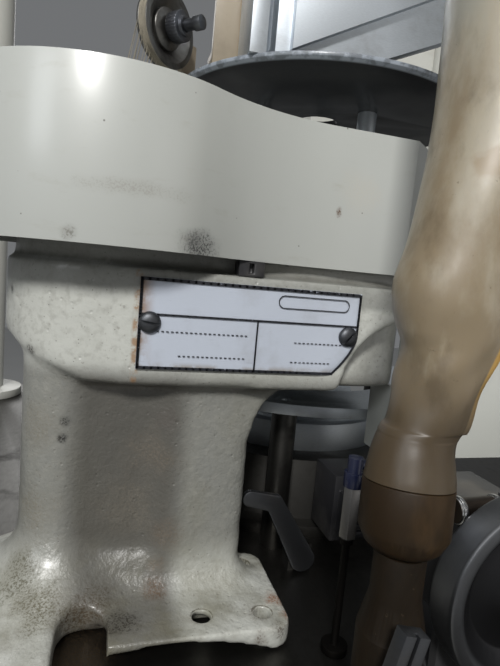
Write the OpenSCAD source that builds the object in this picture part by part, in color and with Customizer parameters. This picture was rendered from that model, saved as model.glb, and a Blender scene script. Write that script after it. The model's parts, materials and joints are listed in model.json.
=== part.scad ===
// Circular sock knitting machine, floor standing. Millimetres, +Z up.
// The origin is on the floor, under the needle cylinder's axis, at the middle of the four anchor holes.
// -Y is the side of the column and its nameplate, +Y is the side where the operator stands.

/* [Base] */
// Height of the bed's top face above the floor
bed_top_z = 860; // [800:10:920]
// Thickness of the cast bed
bed_t = 40; // [34:2:50]
// Width of the bed
bed_w = 620; // [580:10:700]
// Depth of the bed
bed_d = 560; // [540:10:640]
// Side of the frame's square tube
tube = 50; // [40:5:60]
// Wall of the frame's square tube
tube_wall = 3; // [2:0.5:5]
// Thickness of the floor plates
floor_plate_t = 10; // [8:1:14]
// Radius of the anchor holes in the floor plates
anchor_r = 7; // [6:0.5:9]
// Thickness of the cabinet's sheet steel
sheet_t = 2; // [1.5:0.5:3]

/* [Column and arm] */
// Column axis from the cylinder axis, along X
shaft_x = -135; // [-145:1:-130]
// Column axis from the cylinder axis, along Y
shaft_y = -99; // [-104:1:-95]
// Radius of the column's round part
column_r = 31; // [30:0.5:33]
// Thickness of the foot flange
foot_t = 10; // [8:1:14]
// Clear height between the bed and the arm's underside
column_h = 102; // [96:1:120]
// Height of the arm
arm_h = 47.5; // [44:0.5:56]
// Radius of the column head
head_r = 42; // [40:0.5:43]
// Radius of the dial housing
housing_r = 37; // [34:1:40]
// Radius of the foot's bolt holes
foot_hole_r = 3.5; // [3:0.25:4.5]
// Nameplate width
plate_w = 95; // [80:1:95]
// Nameplate height
plate_h = 36.4; // [30:0.2:38]
// Nameplate thickness
plate_t = 0.6; // [0.5:0.1:1]

/* [Head cover] */
// Gap between the arm and the cover's lower edge
cover_gap = 6.5; // [5:0.5:9]
// Height of the cover
cover_h = 60.7; // [56:0.1:70]
// Wall of the cover
cover_t = 3; // [2:0.5:4]
// Radius of the cover's round end, over the column
cover_r = 65; // [63:1:67]
// Radius of the guide disc
disc_r = 100; // [96:1:110]
// Thickness of the guide disc
disc_t = 5.5; // [4:0.5:8]
// Height of the disc above the cover
disc_gap = 42.8; // [36:0.2:50]

/* [Knitting unit] */
// Radius of the needle cylinder, 3 3/4 inches across
cyl_r = 47.6; // [47:0.1:48]
// Wall of the needle cylinder
cyl_wall = 6.6; // [6:0.1:7]
// Number of needles
needles_n = 160; // [80:8:160]
// Depth of a needle groove
groove_d = 2.6; // [2:0.1:3]
// Width of a needle groove
groove_w = 0.8; // [0.7:0.05:0.9]
// Height of the cylinder's top above the bed
cyl_top = 65; // [62:1:68]
// Height of the cam box
cam_h = 45; // [40:1:46]
// Outer radius of the cam box
cam_r = 82; // [78:1:84]
// Number of places for selector blocks round the cam box
selector_n = 8; // [8]
// Radius of the dial
dial_r = 43.5; // [42:0.5:44]
// Height of the finger ring above the bed
ring_z = 78; // [76:0.5:80]
// Number of yarn fingers
finger_n = 3; // [3]

/* [Drive] */
// Radius of the main shaft and of the dial shaft
shaft_r = 10; // [8:0.5:10]
// Outer radius of the shafts' ball bearings
bearing_r = 23.5; // [22:0.5:24]
// Height of the shafts' ball bearings
bearing_h = 14; // [12:1:15]
// Pitch radius of the head pulleys
head_pulley_r = 42; // [38:1:45]
// Pitch radius of the cylinder pulley and of its mate on the main shaft
low_pulley_r = 62; // [58:1:64]
// Pitch radius of the motor pulley
motor_pulley_r = 26; // [22:1:30]
// Motor axis, X
motor_x = 95; // [85:1:100]
// Motor axis, Y
motor_y = 95; // [90:1:110]
// Width of the toothed belts
belt_w = 16; // [12:1:18]
// Thickness of the toothed belts
belt_t = 3; // [2:0.5:4]
// Running clearance of shafts in their bores
fit = 0.04; // [0.02:0.01:0.08]
// Clearance between pulleys and belts
belt_gap = 0.3; // [0.3:0.05:0.5]

/* [Creel and controls] */
// Height of the creel's cone plate above the bed
creel_h = 900; // [700:10:1100]
// Radius of the creel's cone plate
creel_r = 230; // [180:5:240]
// Number of cone pegs
peg_n = 6; // [4:1:8]
// Width of the control box
box_w = 210; // [180:5:240]
// Height of the control box
box_h = 150; // [130:5:180]
// Depth of the control box
box_d = 60; // [50:2:80]

/* [Hidden] */
$fn = 64;
e = 0.01;

// Levels
bed_z = bed_top_z - bed_t;
arm_z = bed_top_z + column_h;
arm_top = arm_z + arm_h;
cover_z = arm_top + cover_gap;
cover_top = cover_z + cover_h;
disc_z = cover_top + disc_gap;
disc_top = disc_z + disc_t;
low_belt_z = bed_z - belt_w - 14;
drive_belt_z = low_belt_z - belt_w - 12;
head_belt_z = cover_z + 8;
flange_h = 2;

// Frame
post_x = bed_w/2 - tube/2 - 30;
post_y = bed_d/2 - tube/2 - 20;
anchor_x = post_x + tube/2 + 26;
rail_z = 90;
open_x = post_x - tube/2;
open_y = post_y - tube/2;
panel_z = rail_z + 4;
panel_h = bed_z - panel_z - 6;

// Column, arm and pad, all from the column axis
flat_y = shaft_y - 36;
web_y = flat_y + 5;
column_x0 = shaft_x - 31;
column_x1 = shaft_x + 66;
column_y1 = shaft_y + 14;
pad_y = shaft_y - 44.5;
pad_x0 = shaft_x + 8;
pad_x1 = shaft_x + 106;
plate_x = shaft_x + 60;
plate_z = arm_z + 26;
wing_x = shaft_x + 127;
wing_y = shaft_y - 20;
wing_r = 13;
foot_y0 = shaft_y - 69.5;
foot_x1 = shaft_x + 81.5;
foot_y1 = shaft_y - 13;

// Knitting unit
cyl_z = bed_top_z + 8;
cyl_top_z = bed_top_z + cyl_top;
collar_r = cyl_r + 4;
sleeve_r = cyl_r - 1.5;
bore_r = cyl_r - cyl_wall;
dial_z = cyl_top_z + 2;
dial_t = 8;
ring_t = 6;
ring_in = cyl_r + 19;
ring_out = cam_r + 24;
post_r = cam_r + 15;
housing_z = arm_z - 12;

// Hose, from its lower end in the bed's socket to the duct
duct_x = -11;
duct_y = -195;
duct_z = bed_top_z + 372;
duct_span = 211;
duct_swing = 2.4;
leg_x = duct_x + duct_span*cos(duct_swing);
leg_y = duct_y + duct_span*sin(duct_swing);
tail_x = -40.8;
tail_y = -213;
hose_route = [
    // x, y, height above the bed, half width across the view, half depth
    [-38.93, -209.83, 90.03, 14.3, 13.6],
    [-38.8, -209.6, 92.2, 14.1, 13.4],
    [-38.6, -209.1, 96, 13.7, 12.8],
    [-38.3, -208.6, 100, 13.0, 12.1],
    [-37.4, -208.2, 104, 12.5, 11.5],
    [-36.0, -208.1, 107, 12.4, 11.5],
    [-34.0, -208.0, 109.6, 12.5, 12],
    [-31.3, -207.5, 122, 13.1, 13],
    [-28.6, -207.1, 132, 15.6, 14],
    [-28.5, -206.3, 138.5, 17.6, 15.5],
    [-28.6, -205.3, 146, 18.9, 17],
    [-27.8, -204.6, 153.5, 19.4, 17.5],
    [-24.7, -204.0, 164.6, 19.2, 18],
    [-22.3, -202.9, 181, 18.9, 18.5],
    [-20.0, -201.8, 195, 18.7, 19],
    [-18.0, -200.7, 209, 19, 19.5],
    [-16.4, -199.1, 226, 20.1, 20],
    [-15.3, -197.6, 245, 20.5, 20.5],
    [-13.8, -196.2, 270, 20.5, 20.5],
    [-12.2, -195.3, 300, 20.5, 20.5],
    [-11.0, -195.0, 330, 20.5, 20.5],
    [-11.0, -195.0, 370, 21.6, 21.6],
    [-11.0, -195.0, 398, 21.6, 21.6]
];

// Feed wheel, spindle and fittings
wheel_x = 19.7;
wheel_y = -212;
wheel_z = bed_top_z + 44;
wheel_r = 36.7;
wheel_w = 13;
fitting_x = -36.6;
fitting_y = -171.5;

// Creel and controls
creel_x = -post_x;
creel_y = post_y;
box_x = post_x;
box_y = post_y;
box_z = bed_top_z + 330;

// Helpers

module at(x, y, z = 0) translate([x, y, z]) children();

// Centred in X and Y, standing on z
module block(w, d, h, z = 0) translate([-w/2, -d/2, z]) cube([w, d, h]);

module ring(ro, ri, h, z = 0) translate([0, 0, z]) difference() {
    cylinder(r = ro, h = h);
    translate([0, 0, -e]) cylinder(r = ri, h = h + 2*e);
}

module along_y(x, y, z) translate([x, y, z]) rotate([-90, 0, 0]) children();

module along_x(x, y, z) translate([x, y, z]) rotate([0, 90, 0]) children();

module four_corners(x, y) for (sx = [-1, 1], sy = [-1, 1]) translate([sx*x, sy*y, 0]) children();

// Square tube along Z
module square_tube(h) difference() {
    block(tube, tube, h);
    block(tube - 2*tube_wall, tube - 2*tube_wall, h + 2, -1);
}

// Square tube lying along X or Y, centred on its middle
module rail_x(len, z) translate([-len/2, 0, z + tube/2]) rotate([0, 90, 0]) rotate([0, 0, 90])
    square_tube(len);
module rail_y(len, z) translate([0, -len/2, z + tube/2]) rotate([-90, 0, 0]) square_tube(len);

// Two circles joined by their outer tangents
module stadium(x1, y1, r1, x2, y2, r2) hull() {
    translate([x1, y1]) circle(r = r1, $fn = 96);
    translate([x2, y2]) circle(r = r2, $fn = 96);
}

// A belt's closed loop round two pulleys
module belt_loop(x1, y1, r1, x2, y2, r2, z) translate([0, 0, z]) linear_extrude(belt_w) difference() {
    stadium(x1, y1, r1 + belt_gap + belt_t, x2, y2, r2 + belt_gap + belt_t);
    stadium(x1, y1, r1 + belt_gap, x2, y2, r2 + belt_gap);
}

// Toothed pulley with a flange on each side
module pulley(r, bore, z, teeth) translate([0, 0, z]) difference() {
    union() {
        linear_extrude(belt_w + 1) difference() {
            circle(r = r);
            for (k = [0:teeth - 1]) rotate(k*360/teeth) translate([r, 0]) circle(r = 1.2, $fn = 8);
        }
        translate([0, 0, -flange_h]) cylinder(r = r + belt_t, h = flange_h);
        translate([0, 0, belt_w + 1]) cylinder(r = r + belt_t, h = flange_h);
    }
    translate([0, 0, -10]) cylinder(r = bore, h = belt_w + 40);
}

// Base

module floor_plate() difference() {
    translate([-tube/2 - 5, -tube/2 - 5, 0]) cube([tube + 55, tube + 10, floor_plate_t]);
    translate([anchor_x - post_x, 0, -1]) cylinder(r = anchor_r, h = floor_plate_t + 2);
}

hinge_x = -open_x - 2;
hinge_y = post_y + tube/2 + 8;
hinge_pin_r = 4;
hinge_zs = [panel_z + 110, panel_z + panel_h - 160];

module frame_hinge(z) translate([hinge_x, hinge_y, z]) {
    cylinder(r = 7, h = 20);
    translate([-18, -8, 0]) cube([18, 8, 20]);
    cylinder(r = hinge_pin_r, h = 46);
}

latch_x = open_x - 25;
latch_z = panel_z + panel_h/2;

module base_frame() color("gainsboro") difference() {
    union() {
        four_corners(post_x, post_y) translate([0, 0, floor_plate_t]) square_tube(bed_z - floor_plate_t);
        for (sx = [-1, 1], sy = [-1, 1]) scale([sx, 1, 1]) translate([post_x, sy*post_y, 0]) floor_plate();
        for (z = [rail_z - tube, bed_z - tube]) {
            for (sy = [-1, 1]) translate([0, sy*post_y, 0]) rail_x(2*open_x, z);
            for (sx = [-1, 1]) translate([sx*post_x, 0, 0]) rail_y(2*open_y, z);
        }
        for (z = hinge_zs) frame_hinge(z);
    }
    translate([open_x - 1, post_y + tube/2 - 30, latch_z - 32]) cube([16, 14, 40]);
}

module side_sheet() {
    translate([0, -post_y - tube/2, panel_z - rail_z + 40])
        cube([sheet_t, 2*post_y + tube, bed_z - panel_z + 40]);
}

// The side panels lie on the outer faces of the posts and rails
module side_panel() difference() {
    translate([post_x + tube/2, -post_y - tube/2, panel_z]) cube([sheet_t, 2*post_y + tube, panel_h]);
    for (k = [0:5]) translate([post_x, -75, panel_z + 60 + 24*k]) cube([tube, 150, 8]);
}

module left_panel() color("linen") mirror([1, 0, 0]) side_panel();

module right_panel() color("linen") side_panel();

louvre_n = 9;
louvre_w = 180;

module louvre(x, z) translate([x - louvre_w/2, -post_y - tube/2 - sheet_t, z])
    rotate([90, 0, 90]) linear_extrude(louvre_w)
        polygon([[0, 0], [-7, 1], [-7, 3], [0, 12], [sheet_t, 12], [sheet_t, 9], [-4, 2.5], [0, 2]]);

inlet_x = 190;
inlet_z = panel_z + 60;
inlet_r = 10;

module rear_panel() color("linen") {
    difference() {
        along_y(inlet_x, -post_y - tube/2 - sheet_t - 10, inlet_z) cylinder(r = inlet_r + 6, h = 10 + e);
        along_y(inlet_x, -post_y - tube/2 - sheet_t - 11, inlet_z) cylinder(r = inlet_r, h = 14);
    }
    difference() {
        translate([-post_x - tube/2, -post_y - tube/2 - sheet_t, panel_z])
            cube([2*post_x + tube, sheet_t, panel_h]);
        along_y(inlet_x, -post_y - tube/2 - sheet_t - 1, inlet_z) cylinder(r = inlet_r, h = 4);
        for (sx = [-1, 1], k = [0:louvre_n - 1])
            translate([sx*110 - louvre_w/2 + 3, -post_y - tube, panel_z + 402 + 22*k])
                cube([louvre_w - 6, tube, 7]);
    }
    for (sx = [-1, 1], k = [0:louvre_n - 1]) louvre(sx*110, panel_z + 400 + 22*k);
}

door_gap = 2;
door_y = post_y + tube/2 + sheet_t;
door_fold = 16;

module front_door() color("linen") difference() {
    union() {
        difference() {
            translate([-open_x + door_gap, door_y - door_fold, panel_z + 2])
                cube([2*(open_x - door_gap), door_fold, panel_h - tube - 4]);
            translate([-open_x + door_gap + sheet_t, door_y - door_fold - 1, panel_z + 2 + sheet_t])
                cube([2*(open_x - door_gap - sheet_t), door_fold + 1 - sheet_t,
                    panel_h - tube - 4 - 2*sheet_t]);
        }
        for (z = hinge_zs) {
            translate([hinge_x, hinge_y, z + 20.4]) cylinder(r = 7, h = 28);
            translate([hinge_x, door_y, z + 20.4]) cube([30, 3, 28]);
        }
    }
    for (z = hinge_zs) translate([hinge_x, hinge_y, z]) cylinder(r = hinge_pin_r + fit, h = 60);
    along_y(latch_x, door_y - 10, latch_z) cylinder(r = 8 + fit, h = 20);
}

module door_latch() color("dimgray") {
    along_y(latch_x, door_y - 26, latch_z) cylinder(r = 8, h = 27);
    along_y(latch_x, door_y + 0.4, latch_z) cylinder(r = 15, h = 6);
    translate([latch_x - 3, door_y + 6, latch_z - 14]) cube([6, 12, 28]);
    translate([latch_x, door_y - 26, latch_z - 5]) cube([33, 4, 10]);
}

// Bed

module bed_bolt_places() four_corners(post_x, post_y) children();

module bed_plate() color("darkslategray") difference() {
    union() {
        translate([0, 0, bed_z]) linear_extrude(bed_t) offset(r = 30) square([bed_w - 60, bed_d - 60],
            center = true);
        at(tail_x, tail_y, bed_top_z - e) cylinder(r = 13.4, h = 6);
        translate([lever_x - 6, lever_y + 3, bed_top_z - e]) cube([12, 9, 14]);
        translate([0, 0, bed_top_z - e]) cylinder(r = cyl_r + 16.4, h = 2);
    }
    translate([0, 0, bed_z - 1]) cylinder(r = cyl_r + 14.4, h = bed_t + 5);
    at(shaft_x, shaft_y, bed_z - 1) cylinder(r = bearing_r - 3, h = bed_t + 2);
    at(tail_x, tail_y, bed_top_z - 12) cylinder(r = 11 + 0.1, h = 30);
    at(leg_x, leg_y, bed_z - 1) cylinder(r = 24.1, h = bed_t + 2);
    translate([0, 0, bed_z - e]) linear_extrude(bed_t - 18) difference() {
        offset(r = 20) square([bed_w - 190, bed_d - 190], center = true);
        circle(r = cyl_r + 34);
        translate([shaft_x, shaft_y]) circle(r = bearing_r + 14);
        square([bed_w, 14], center = true);
        rotate(90) square([bed_w, 14], center = true);
        for (p = motor_posts) translate(p) circle(r = 14);
    }
    along_y(lever_x, lever_y, lever_z) cylinder(r = lever_pin_r + fit, h = 20);
    bed_bolt_places() translate([0, 0, bed_z - 1]) cylinder(r = 6, h = bed_t + 2);
    bed_bolt_places() translate([0, 0, bed_top_z - 11]) cylinder(r = 10, h = 12);
}

module bed_bolts() color("dimgray") bed_bolt_places() difference() {
    union() {
        translate([0, 0, bed_z - tube_wall]) cylinder(r = 5.8, h = bed_t - 10);
        translate([0, 0, bed_top_z - 11]) cylinder(r = 9.5, h = 10);
    }
    translate([0, 0, bed_top_z - 7]) cylinder(r = 5.2, h = 8, $fn = 6);
}

// Drive

motor_plate = 150;
motor_top = drive_belt_z - 26;
motor_r = 60;
motor_h = 190;

bracket_t = 10;
bracket_post_r = 9;
motor_face = 120;
terminal = [34, 60, 70];

motor_posts = [for (p = [[-1, 1], [1, -1], [1, 1]]) [motor_x + p[0]*(motor_plate/2 - 14),
    motor_y + p[1]*(motor_plate/2 - 14)]];

module motor_bracket() color("slategray") difference() {
    union() {
        translate([0, 0, motor_top]) linear_extrude(bracket_t) hull() {
            translate([motor_x, motor_y]) circle(r = motor_r + 6);
            for (p = motor_posts) translate(p) circle(r = bracket_post_r + 7);
        }
        for (p = motor_posts) at(p[0], p[1], motor_top) cylinder(r = bracket_post_r, h = bed_z - motor_top);
    }
    at(motor_x, motor_y, motor_top - 1) cylinder(r = motor_r/2, h = bracket_t + 2);
}

module motor() color("steelblue") at(motor_x, motor_y, 0) difference() {
    union() {
        translate([0, 0, motor_top - motor_h]) cylinder(r = motor_r - 6, h = motor_h);
        for (k = [0:23]) rotate(k*15) translate([motor_r - 10, -1.5, motor_top - motor_h + 30])
            cube([10, 3, motor_h - 50]);
        translate([0, 0, motor_top - 12]) block(motor_face, motor_face, 12);
        translate([motor_r - 12, -terminal[1]/2, motor_top - 130]) cube(terminal);
        translate([0, 0, motor_top - e]) cylinder(r = motor_r/2 - 0.2, h = 6);
    }
    translate([0, 0, motor_top - 60]) cylinder(r = 9.5 + fit, h = 80);
}

module motor_pulley() color("silver") at(motor_x, motor_y, 0) {
    translate([0, 0, motor_top - 59]) cylinder(r = 9.5, h = drive_belt_z - motor_top + 59 + belt_w + 6);
    pulley(motor_pulley_r, 9.4, drive_belt_z - 0.5, 26);
}

module drive_belt() color("black")
    belt_loop(motor_x, motor_y, motor_pulley_r, shaft_x, shaft_y, low_pulley_r, drive_belt_z);

module cylinder_belt() color("black")
    belt_loop(0, 0, low_pulley_r, shaft_x, shaft_y, low_pulley_r, low_belt_z);

module shaft_pulleys() color("silver") at(shaft_x, shaft_y, 0) {
    pulley(low_pulley_r, shaft_r + 0.01, low_belt_z - 0.5, 62);
    pulley(low_pulley_r, shaft_r + 0.01, drive_belt_z - 0.5, 62);
    pulley(head_pulley_r, shaft_r + 0.01, head_belt_z - 0.5, 42);
}

module main_shaft() color("lightgray") at(shaft_x, shaft_y, 0) {
    translate([0, 0, drive_belt_z - 8]) cylinder(r = shaft_r, h = head_belt_z + belt_w + 12 - drive_belt_z);
}

bearing_zs = [bed_top_z + 2, arm_top - bearing_h - 2];
dial_bearing_zs = [housing_z + 2, arm_top - bearing_h - 2];

module ball_bearing() color("silver") rotate_extrude() polygon([
    [shaft_r + fit, 0], [bearing_r - 6, 0], [bearing_r - 6, 1], [bearing_r - 3, 1], [bearing_r - 3, 0],
        [bearing_r - 0.02, 0],
    [bearing_r - 0.02, bearing_h], [bearing_r - 3, bearing_h], [bearing_r - 3, bearing_h - 1],
        [bearing_r - 6, bearing_h - 1],
    [bearing_r - 6, bearing_h], [shaft_r + fit, bearing_h]
]);

module ball_bearings() {
    for (z = bearing_zs) at(shaft_x, shaft_y, z) ball_bearing();
    for (z = dial_bearing_zs) at(0, 0, z) ball_bearing();
}

// Knitting unit

module cylinder_bearing() color("goldenrod") difference() {
    union() {
        translate([0, 0, bed_z + 2]) cylinder(r = cyl_r + 14.3, h = bed_t - 2);
        translate([0, 0, bed_z]) cylinder(r = cyl_r + 14.3, h = 3);
    }
    translate([0, 0, bed_z - 1]) cylinder(r = sleeve_r + fit, h = bed_t + 4);
}

module cylinder_pulley() color("silver") {
    pulley(low_pulley_r, sleeve_r - 1, low_belt_z - 0.5, 62);
    ring(sleeve_r, bore_r, cyl_z - low_belt_z, low_belt_z);
}

// Outline of the grooved cylinder: one groove for each needle
function groove_angle(k) = 360*k/needles_n;
function groove_half(r) = asin(groove_w/2/r);
function turn(r, a) = [r*cos(a), r*sin(a)];

module grooved_outline() polygon([
    for (k = [0:needles_n - 1]) let (a = groove_angle(k), b = groove_angle(k + 1))
        each [turn(cyl_r - groove_d, a - groove_half(cyl_r - groove_d)),
            turn(cyl_r - groove_d, a + groove_half(cyl_r - groove_d)),
            turn(cyl_r, a + groove_half(cyl_r)), turn(cyl_r, b - groove_half(cyl_r))]
]);

module needle_cylinder() color("silver") difference() {
    union() {
        translate([0, 0, cyl_z]) cylinder(r = collar_r, h = 10);
        translate([0, 0, cyl_z + 10 - e]) linear_extrude(cyl_top_z - cyl_z - 10 + e) grooved_outline();
    }
    translate([0, 0, cyl_z - 1]) cylinder(r = bore_r, h = 100);
}

// A latch needle seen from its side: shank, butt and hook
needle_z0 = cyl_z + 11;
needle_t = groove_w - 0.3;

module needle() rotate([90, 0, 0]) translate([0, 0, -needle_t/2]) linear_extrude(needle_t) polygon([
    [cyl_r - groove_d + 0.1, needle_z0], [cyl_r - 0.3, needle_z0], [cyl_r - 0.3, needle_z0 + 12],
        [cyl_r + 1.2, needle_z0 + 12],
    [cyl_r + 1.2, needle_z0 + 14], [cyl_r - 0.3, needle_z0 + 14], [cyl_r - 0.3, cyl_top_z + 2],
        [cyl_r + 0.3, cyl_top_z + 3],
    [cyl_r + 0.3, cyl_top_z + 4.5], [cyl_r - 0.6, cyl_top_z + 5], [cyl_r - 1.2, cyl_top_z + 4.2],
        [cyl_r - 1.2, cyl_top_z - 1],
    [cyl_r - groove_d + 0.1, cyl_top_z - 2]
]);

module needles() color("whitesmoke") for (k = [0:needles_n - 1]) rotate(groove_angle(k)) needle();

selector_w = 22;
selector_angles = [for (k = [0:selector_n - 1]) if (k != 5) k*360/selector_n];
post_angles = [22.5, 157.5, 247.5];

module cam_box() color("dimgray") {
    difference() {
        translate([0, 0, bed_top_z]) rotate_extrude() polygon([
            [cyl_r + 17, 0], [cam_r + 6, 0], [cam_r + 6, 7], [cam_r, 9], [cam_r, cam_h],
                [cyl_r + 2.4, cam_h], [cyl_r + 2.4, 24], [collar_r + 2, 22],
            [collar_r + 2, 12], [cyl_r + 17, 10]
        ]);
        for (a = selector_angles) rotate(a) translate([cyl_r - 5, -5, bed_top_z + 26])
            cube([60, 10, cam_h - 32]);
        for (a = selector_angles) rotate(a + 11) translate([cam_r + 1, 0, bed_top_z - 1])
            cylinder(r = 2.2, h = 12);
    }
    for (a = post_angles) rotate(a) difference() {
        union() {
            translate([post_r, 0, bed_top_z]) cylinder(r = 7, h = ring_z);
            translate([cam_r - 3, -5, bed_top_z]) cube([15, 10, cam_h - 10]);
        }
        translate([post_r, 0, bed_top_z + ring_z - 15]) cylinder(r = 2.5, h = 20);
    }
}

module selector_block() difference() {
    union() {
        translate([cam_r + 0.02, -selector_w/2, bed_top_z + 10]) cube([26, selector_w, cam_h - 8]);
        translate([cam_r + 26, -selector_w/2 + 3, bed_top_z + 16]) cube([8, selector_w - 6, cam_h - 22]);
        translate([cyl_r + 3.2, -1.5, bed_top_z + 30]) cube([40, 3, 2]);
        translate([cyl_r + 3.2, -1.5, bed_top_z + 34]) cube([40, 3, 2]);
    }
    for (z = [0:4]) translate([cam_r + 32, -selector_w, bed_top_z + 19 + 4*z]) cube([4, 2*selector_w, 1.6]);
}

module selector_blocks() color("black") for (a = selector_angles) rotate(a) selector_block();

sinker_out = cyl_r + 18;

module sinker_cap() color("silver") difference() {
    translate([0, 0, bed_top_z + cam_h]) rotate_extrude() polygon([
        [sinker_out - 5, 0], [sinker_out, 0], [sinker_out, cyl_top - cam_h - 3],
            [sinker_out - 2, cyl_top - cam_h - 1], [cyl_r + 2.6, cyl_top - cam_h - 1],
        [cyl_r + 2.6, cyl_top - cam_h - 8], [sinker_out - 5, cyl_top - cam_h - 10]
    ]);
    for (k = [0:39]) rotate(9*k) translate([cyl_r + 1, -0.5, cyl_top_z - 3]) cube([9, 1, 4]);
}

module finger_ring() color("gray") difference() {
    ring(ring_out, ring_in, ring_t, bed_top_z + ring_z);
    for (a = post_angles) rotate(a) translate([post_r, 0, bed_top_z + ring_z - 1]) cylinder(r = 2.6,
        h = 20);
    for (a = finger_angles) rotate(a) translate([finger_pivot, 0, bed_top_z + ring_z - 1])
        cylinder(r = 3 + fit, h = 20);
}

finger_angles = [45, 90, 135];
finger_pivot = cyl_r + 36;
finger_z = bed_top_z + ring_z + ring_t + 0.3;

module yarn_finger(k) color("lightgray") rotate(finger_angles[k]) difference() {
    union() {
        translate([finger_pivot, 0, bed_top_z + ring_z - 3]) cylinder(r = 3, h = ring_t + 8);
        translate([finger_pivot, 0, finger_z]) cylinder(r = 7, h = 5);
        translate([cyl_r + 9, -2.5, finger_z]) cube([finger_pivot - cyl_r - 9, 5, 5]);
        translate([cyl_r + 9, -1.5, finger_z - ring_t - 4]) cube([4, 3, ring_t + 8]);
        translate([finger_pivot, -3, finger_z]) cube([14, 6, 3]);
    }
    translate([cyl_r + 11, -5, finger_z - ring_t - 2]) rotate([-90, 0, 0]) cylinder(r = 1, h = 10);
}

module yarn_finger_1() yarn_finger(0);
module yarn_finger_2() yarn_finger(1);
module yarn_finger_3() yarn_finger(2);

dial_n = 80;

module dial() color("silver") difference() {
    union() {
        translate([0, 0, dial_z]) cylinder(r = dial_r, h = dial_t);
        translate([0, 0, dial_z + dial_t - e]) cylinder(r = 17, h = 5);
    }
    translate([0, 0, dial_z - 1]) cylinder(r = shaft_r + 0.01, h = 30);
    for (k = [0:dial_n - 1]) rotate(360*k/dial_n) translate([dial_r - 9, -0.4, dial_z + dial_t - 2])
        cube([12, 0.8, 4]);
}

module dial_shaft() color("lightgray") {
    translate([0, 0, dial_z]) cylinder(r = shaft_r, h = head_belt_z + belt_w + 10 - dial_z);
    translate([0, 0, dial_z - 3]) cylinder(r = shaft_r + 5, h = 3);
}

module dial_pulley() color("silver") pulley(head_pulley_r, shaft_r + 0.01, head_belt_z - 0.5, 42);

module head_belt() color("black") belt_loop(0, 0, head_pulley_r, shaft_x, shaft_y, head_pulley_r,
    head_belt_z);

// Column casting

// Section of the column: round tube at the back, rounded ridge at the left, shallow web, flat rib
module column_section() offset(r = -8) offset(r = 8) {
    translate([shaft_x, shaft_y]) circle(r = column_r);
    translate([shaft_x - 14, shaft_y - 14]) circle(r = 18.5);
    translate([shaft_x - 8, web_y]) square([48, column_y1 - web_y]);
    offset(r = 7) translate([shaft_x + 31, flat_y + 7])
        square([column_x1 - shaft_x - 38, column_y1 - flat_y - 14]);
}

module arm_outline(grow = 0) hull() {
    translate([shaft_x, shaft_y]) circle(r = head_r + grow);
    circle(r = housing_r + grow);
    translate([wing_x, wing_y]) circle(r = wing_r + grow);
}

// The pad's face seen from the front: a slanted lower corner and a concave end
module pad_profile() difference() {
    polygon([
        [shaft_x - 60, arm_z], [pad_x1 - 6, arm_z], [pad_x1 + 2, arm_z + 9], [wing_x + 2, arm_z + 30],
            [wing_x + 2, arm_top],
        [shaft_x - 60, arm_top]
    ]);
    translate([shaft_x + 135.7, arm_z - 0.1]) circle(r = 33);
}

module pad() intersection() {
    translate([0, 0, arm_z]) linear_extrude(arm_h) hull() {
        translate([shaft_x, shaft_y]) circle(r = head_r - 0.5);
        translate([pad_x0 + 3, pad_y]) square([wing_x - pad_x0, 20]);
    }
    translate([0, shaft_y, 0]) rotate([90, 0, 0]) linear_extrude(60) pad_profile();
}

foot_holes = [[45, -57], [70.7, -58.4], [70.6, -23]];

module foot_outline() offset(r = -6) offset(r = 6) {
    offset(r = 8) translate([shaft_x + 10, foot_y0 + 8])
        square([foot_x1 - shaft_x - 18, foot_y1 - foot_y0 - 16]);
    translate([shaft_x - 18, shaft_y - 26]) circle(r = 50);
    translate([shaft_x, shaft_y + 2]) circle(r = column_r + 12);
}

module foot_flange() translate([0, 0, bed_top_z]) linear_extrude(foot_t) foot_outline();

// A round foot that flares out with a concave curve
module flare(r, spread, h) rotate_extrude() difference() {
    square([r + spread, h]);
    translate([r + spread, h]) scale([spread/h, 1]) circle(r = h);
}

// A straight concave fillet along X, for the corner between an upright wall and a floor
module fillet_strip(len, r) rotate([90, 0, 90]) linear_extrude(len) difference() {
    translate([-r, -1]) square([r + 2, r + 1]);
    translate([-r, r]) circle(r = r);
}

front_fillet = 14;

module base_fillets() intersection() {
    translate([0, 0, bed_top_z]) linear_extrude(80) foot_outline();
    translate([0, 0, bed_top_z + foot_t - e]) foot_flares();
}

module foot_flares() {
    at(shaft_x, shaft_y) flare(column_r - 0.5, 14, 18);
    at(shaft_x - 14, shaft_y - 16) flare(16, 34, 34);
    at(column_x1 - 7.5, flat_y + 7.5) flare(7, 14, 14);
    translate([shaft_x - 14, flat_y + 1]) fillet_strip(column_x1 - shaft_x + 7, front_fillet);
    translate([column_x1 - 1, flat_y + 8]) rotate(90) fillet_strip(column_y1 - flat_y - 16, 9);
}

notch_x = shaft_x - 2;
notch_r = 9.5;
arch_h = 7.5;
arch_r = 127;

// The concave corner between the column's right side and the arm's underside
module arm_fillet() translate([column_x1, column_y1 - 4, arm_z + e]) rotate([90, 0, 0])
    linear_extrude(column_y1 - flat_y - 5) difference() {
        translate([-8, -24]) square([26, 24]);
        translate([19.5, -27]) scale([20/27, 1]) circle(r = 27);
    }

riser_z = cover_z + 3;

// The head narrows to the column along a slanted line at its lower left
module head_cut() translate([0, shaft_y + 60, 0]) rotate([90, 0, 0]) linear_extrude(140)
    polygon([[shaft_x - 3, arm_z - 1], [shaft_x - 41, arm_z + 15], [shaft_x - 60, arm_z + 18],
        [shaft_x - 60, arm_z - 1]]);

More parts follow.
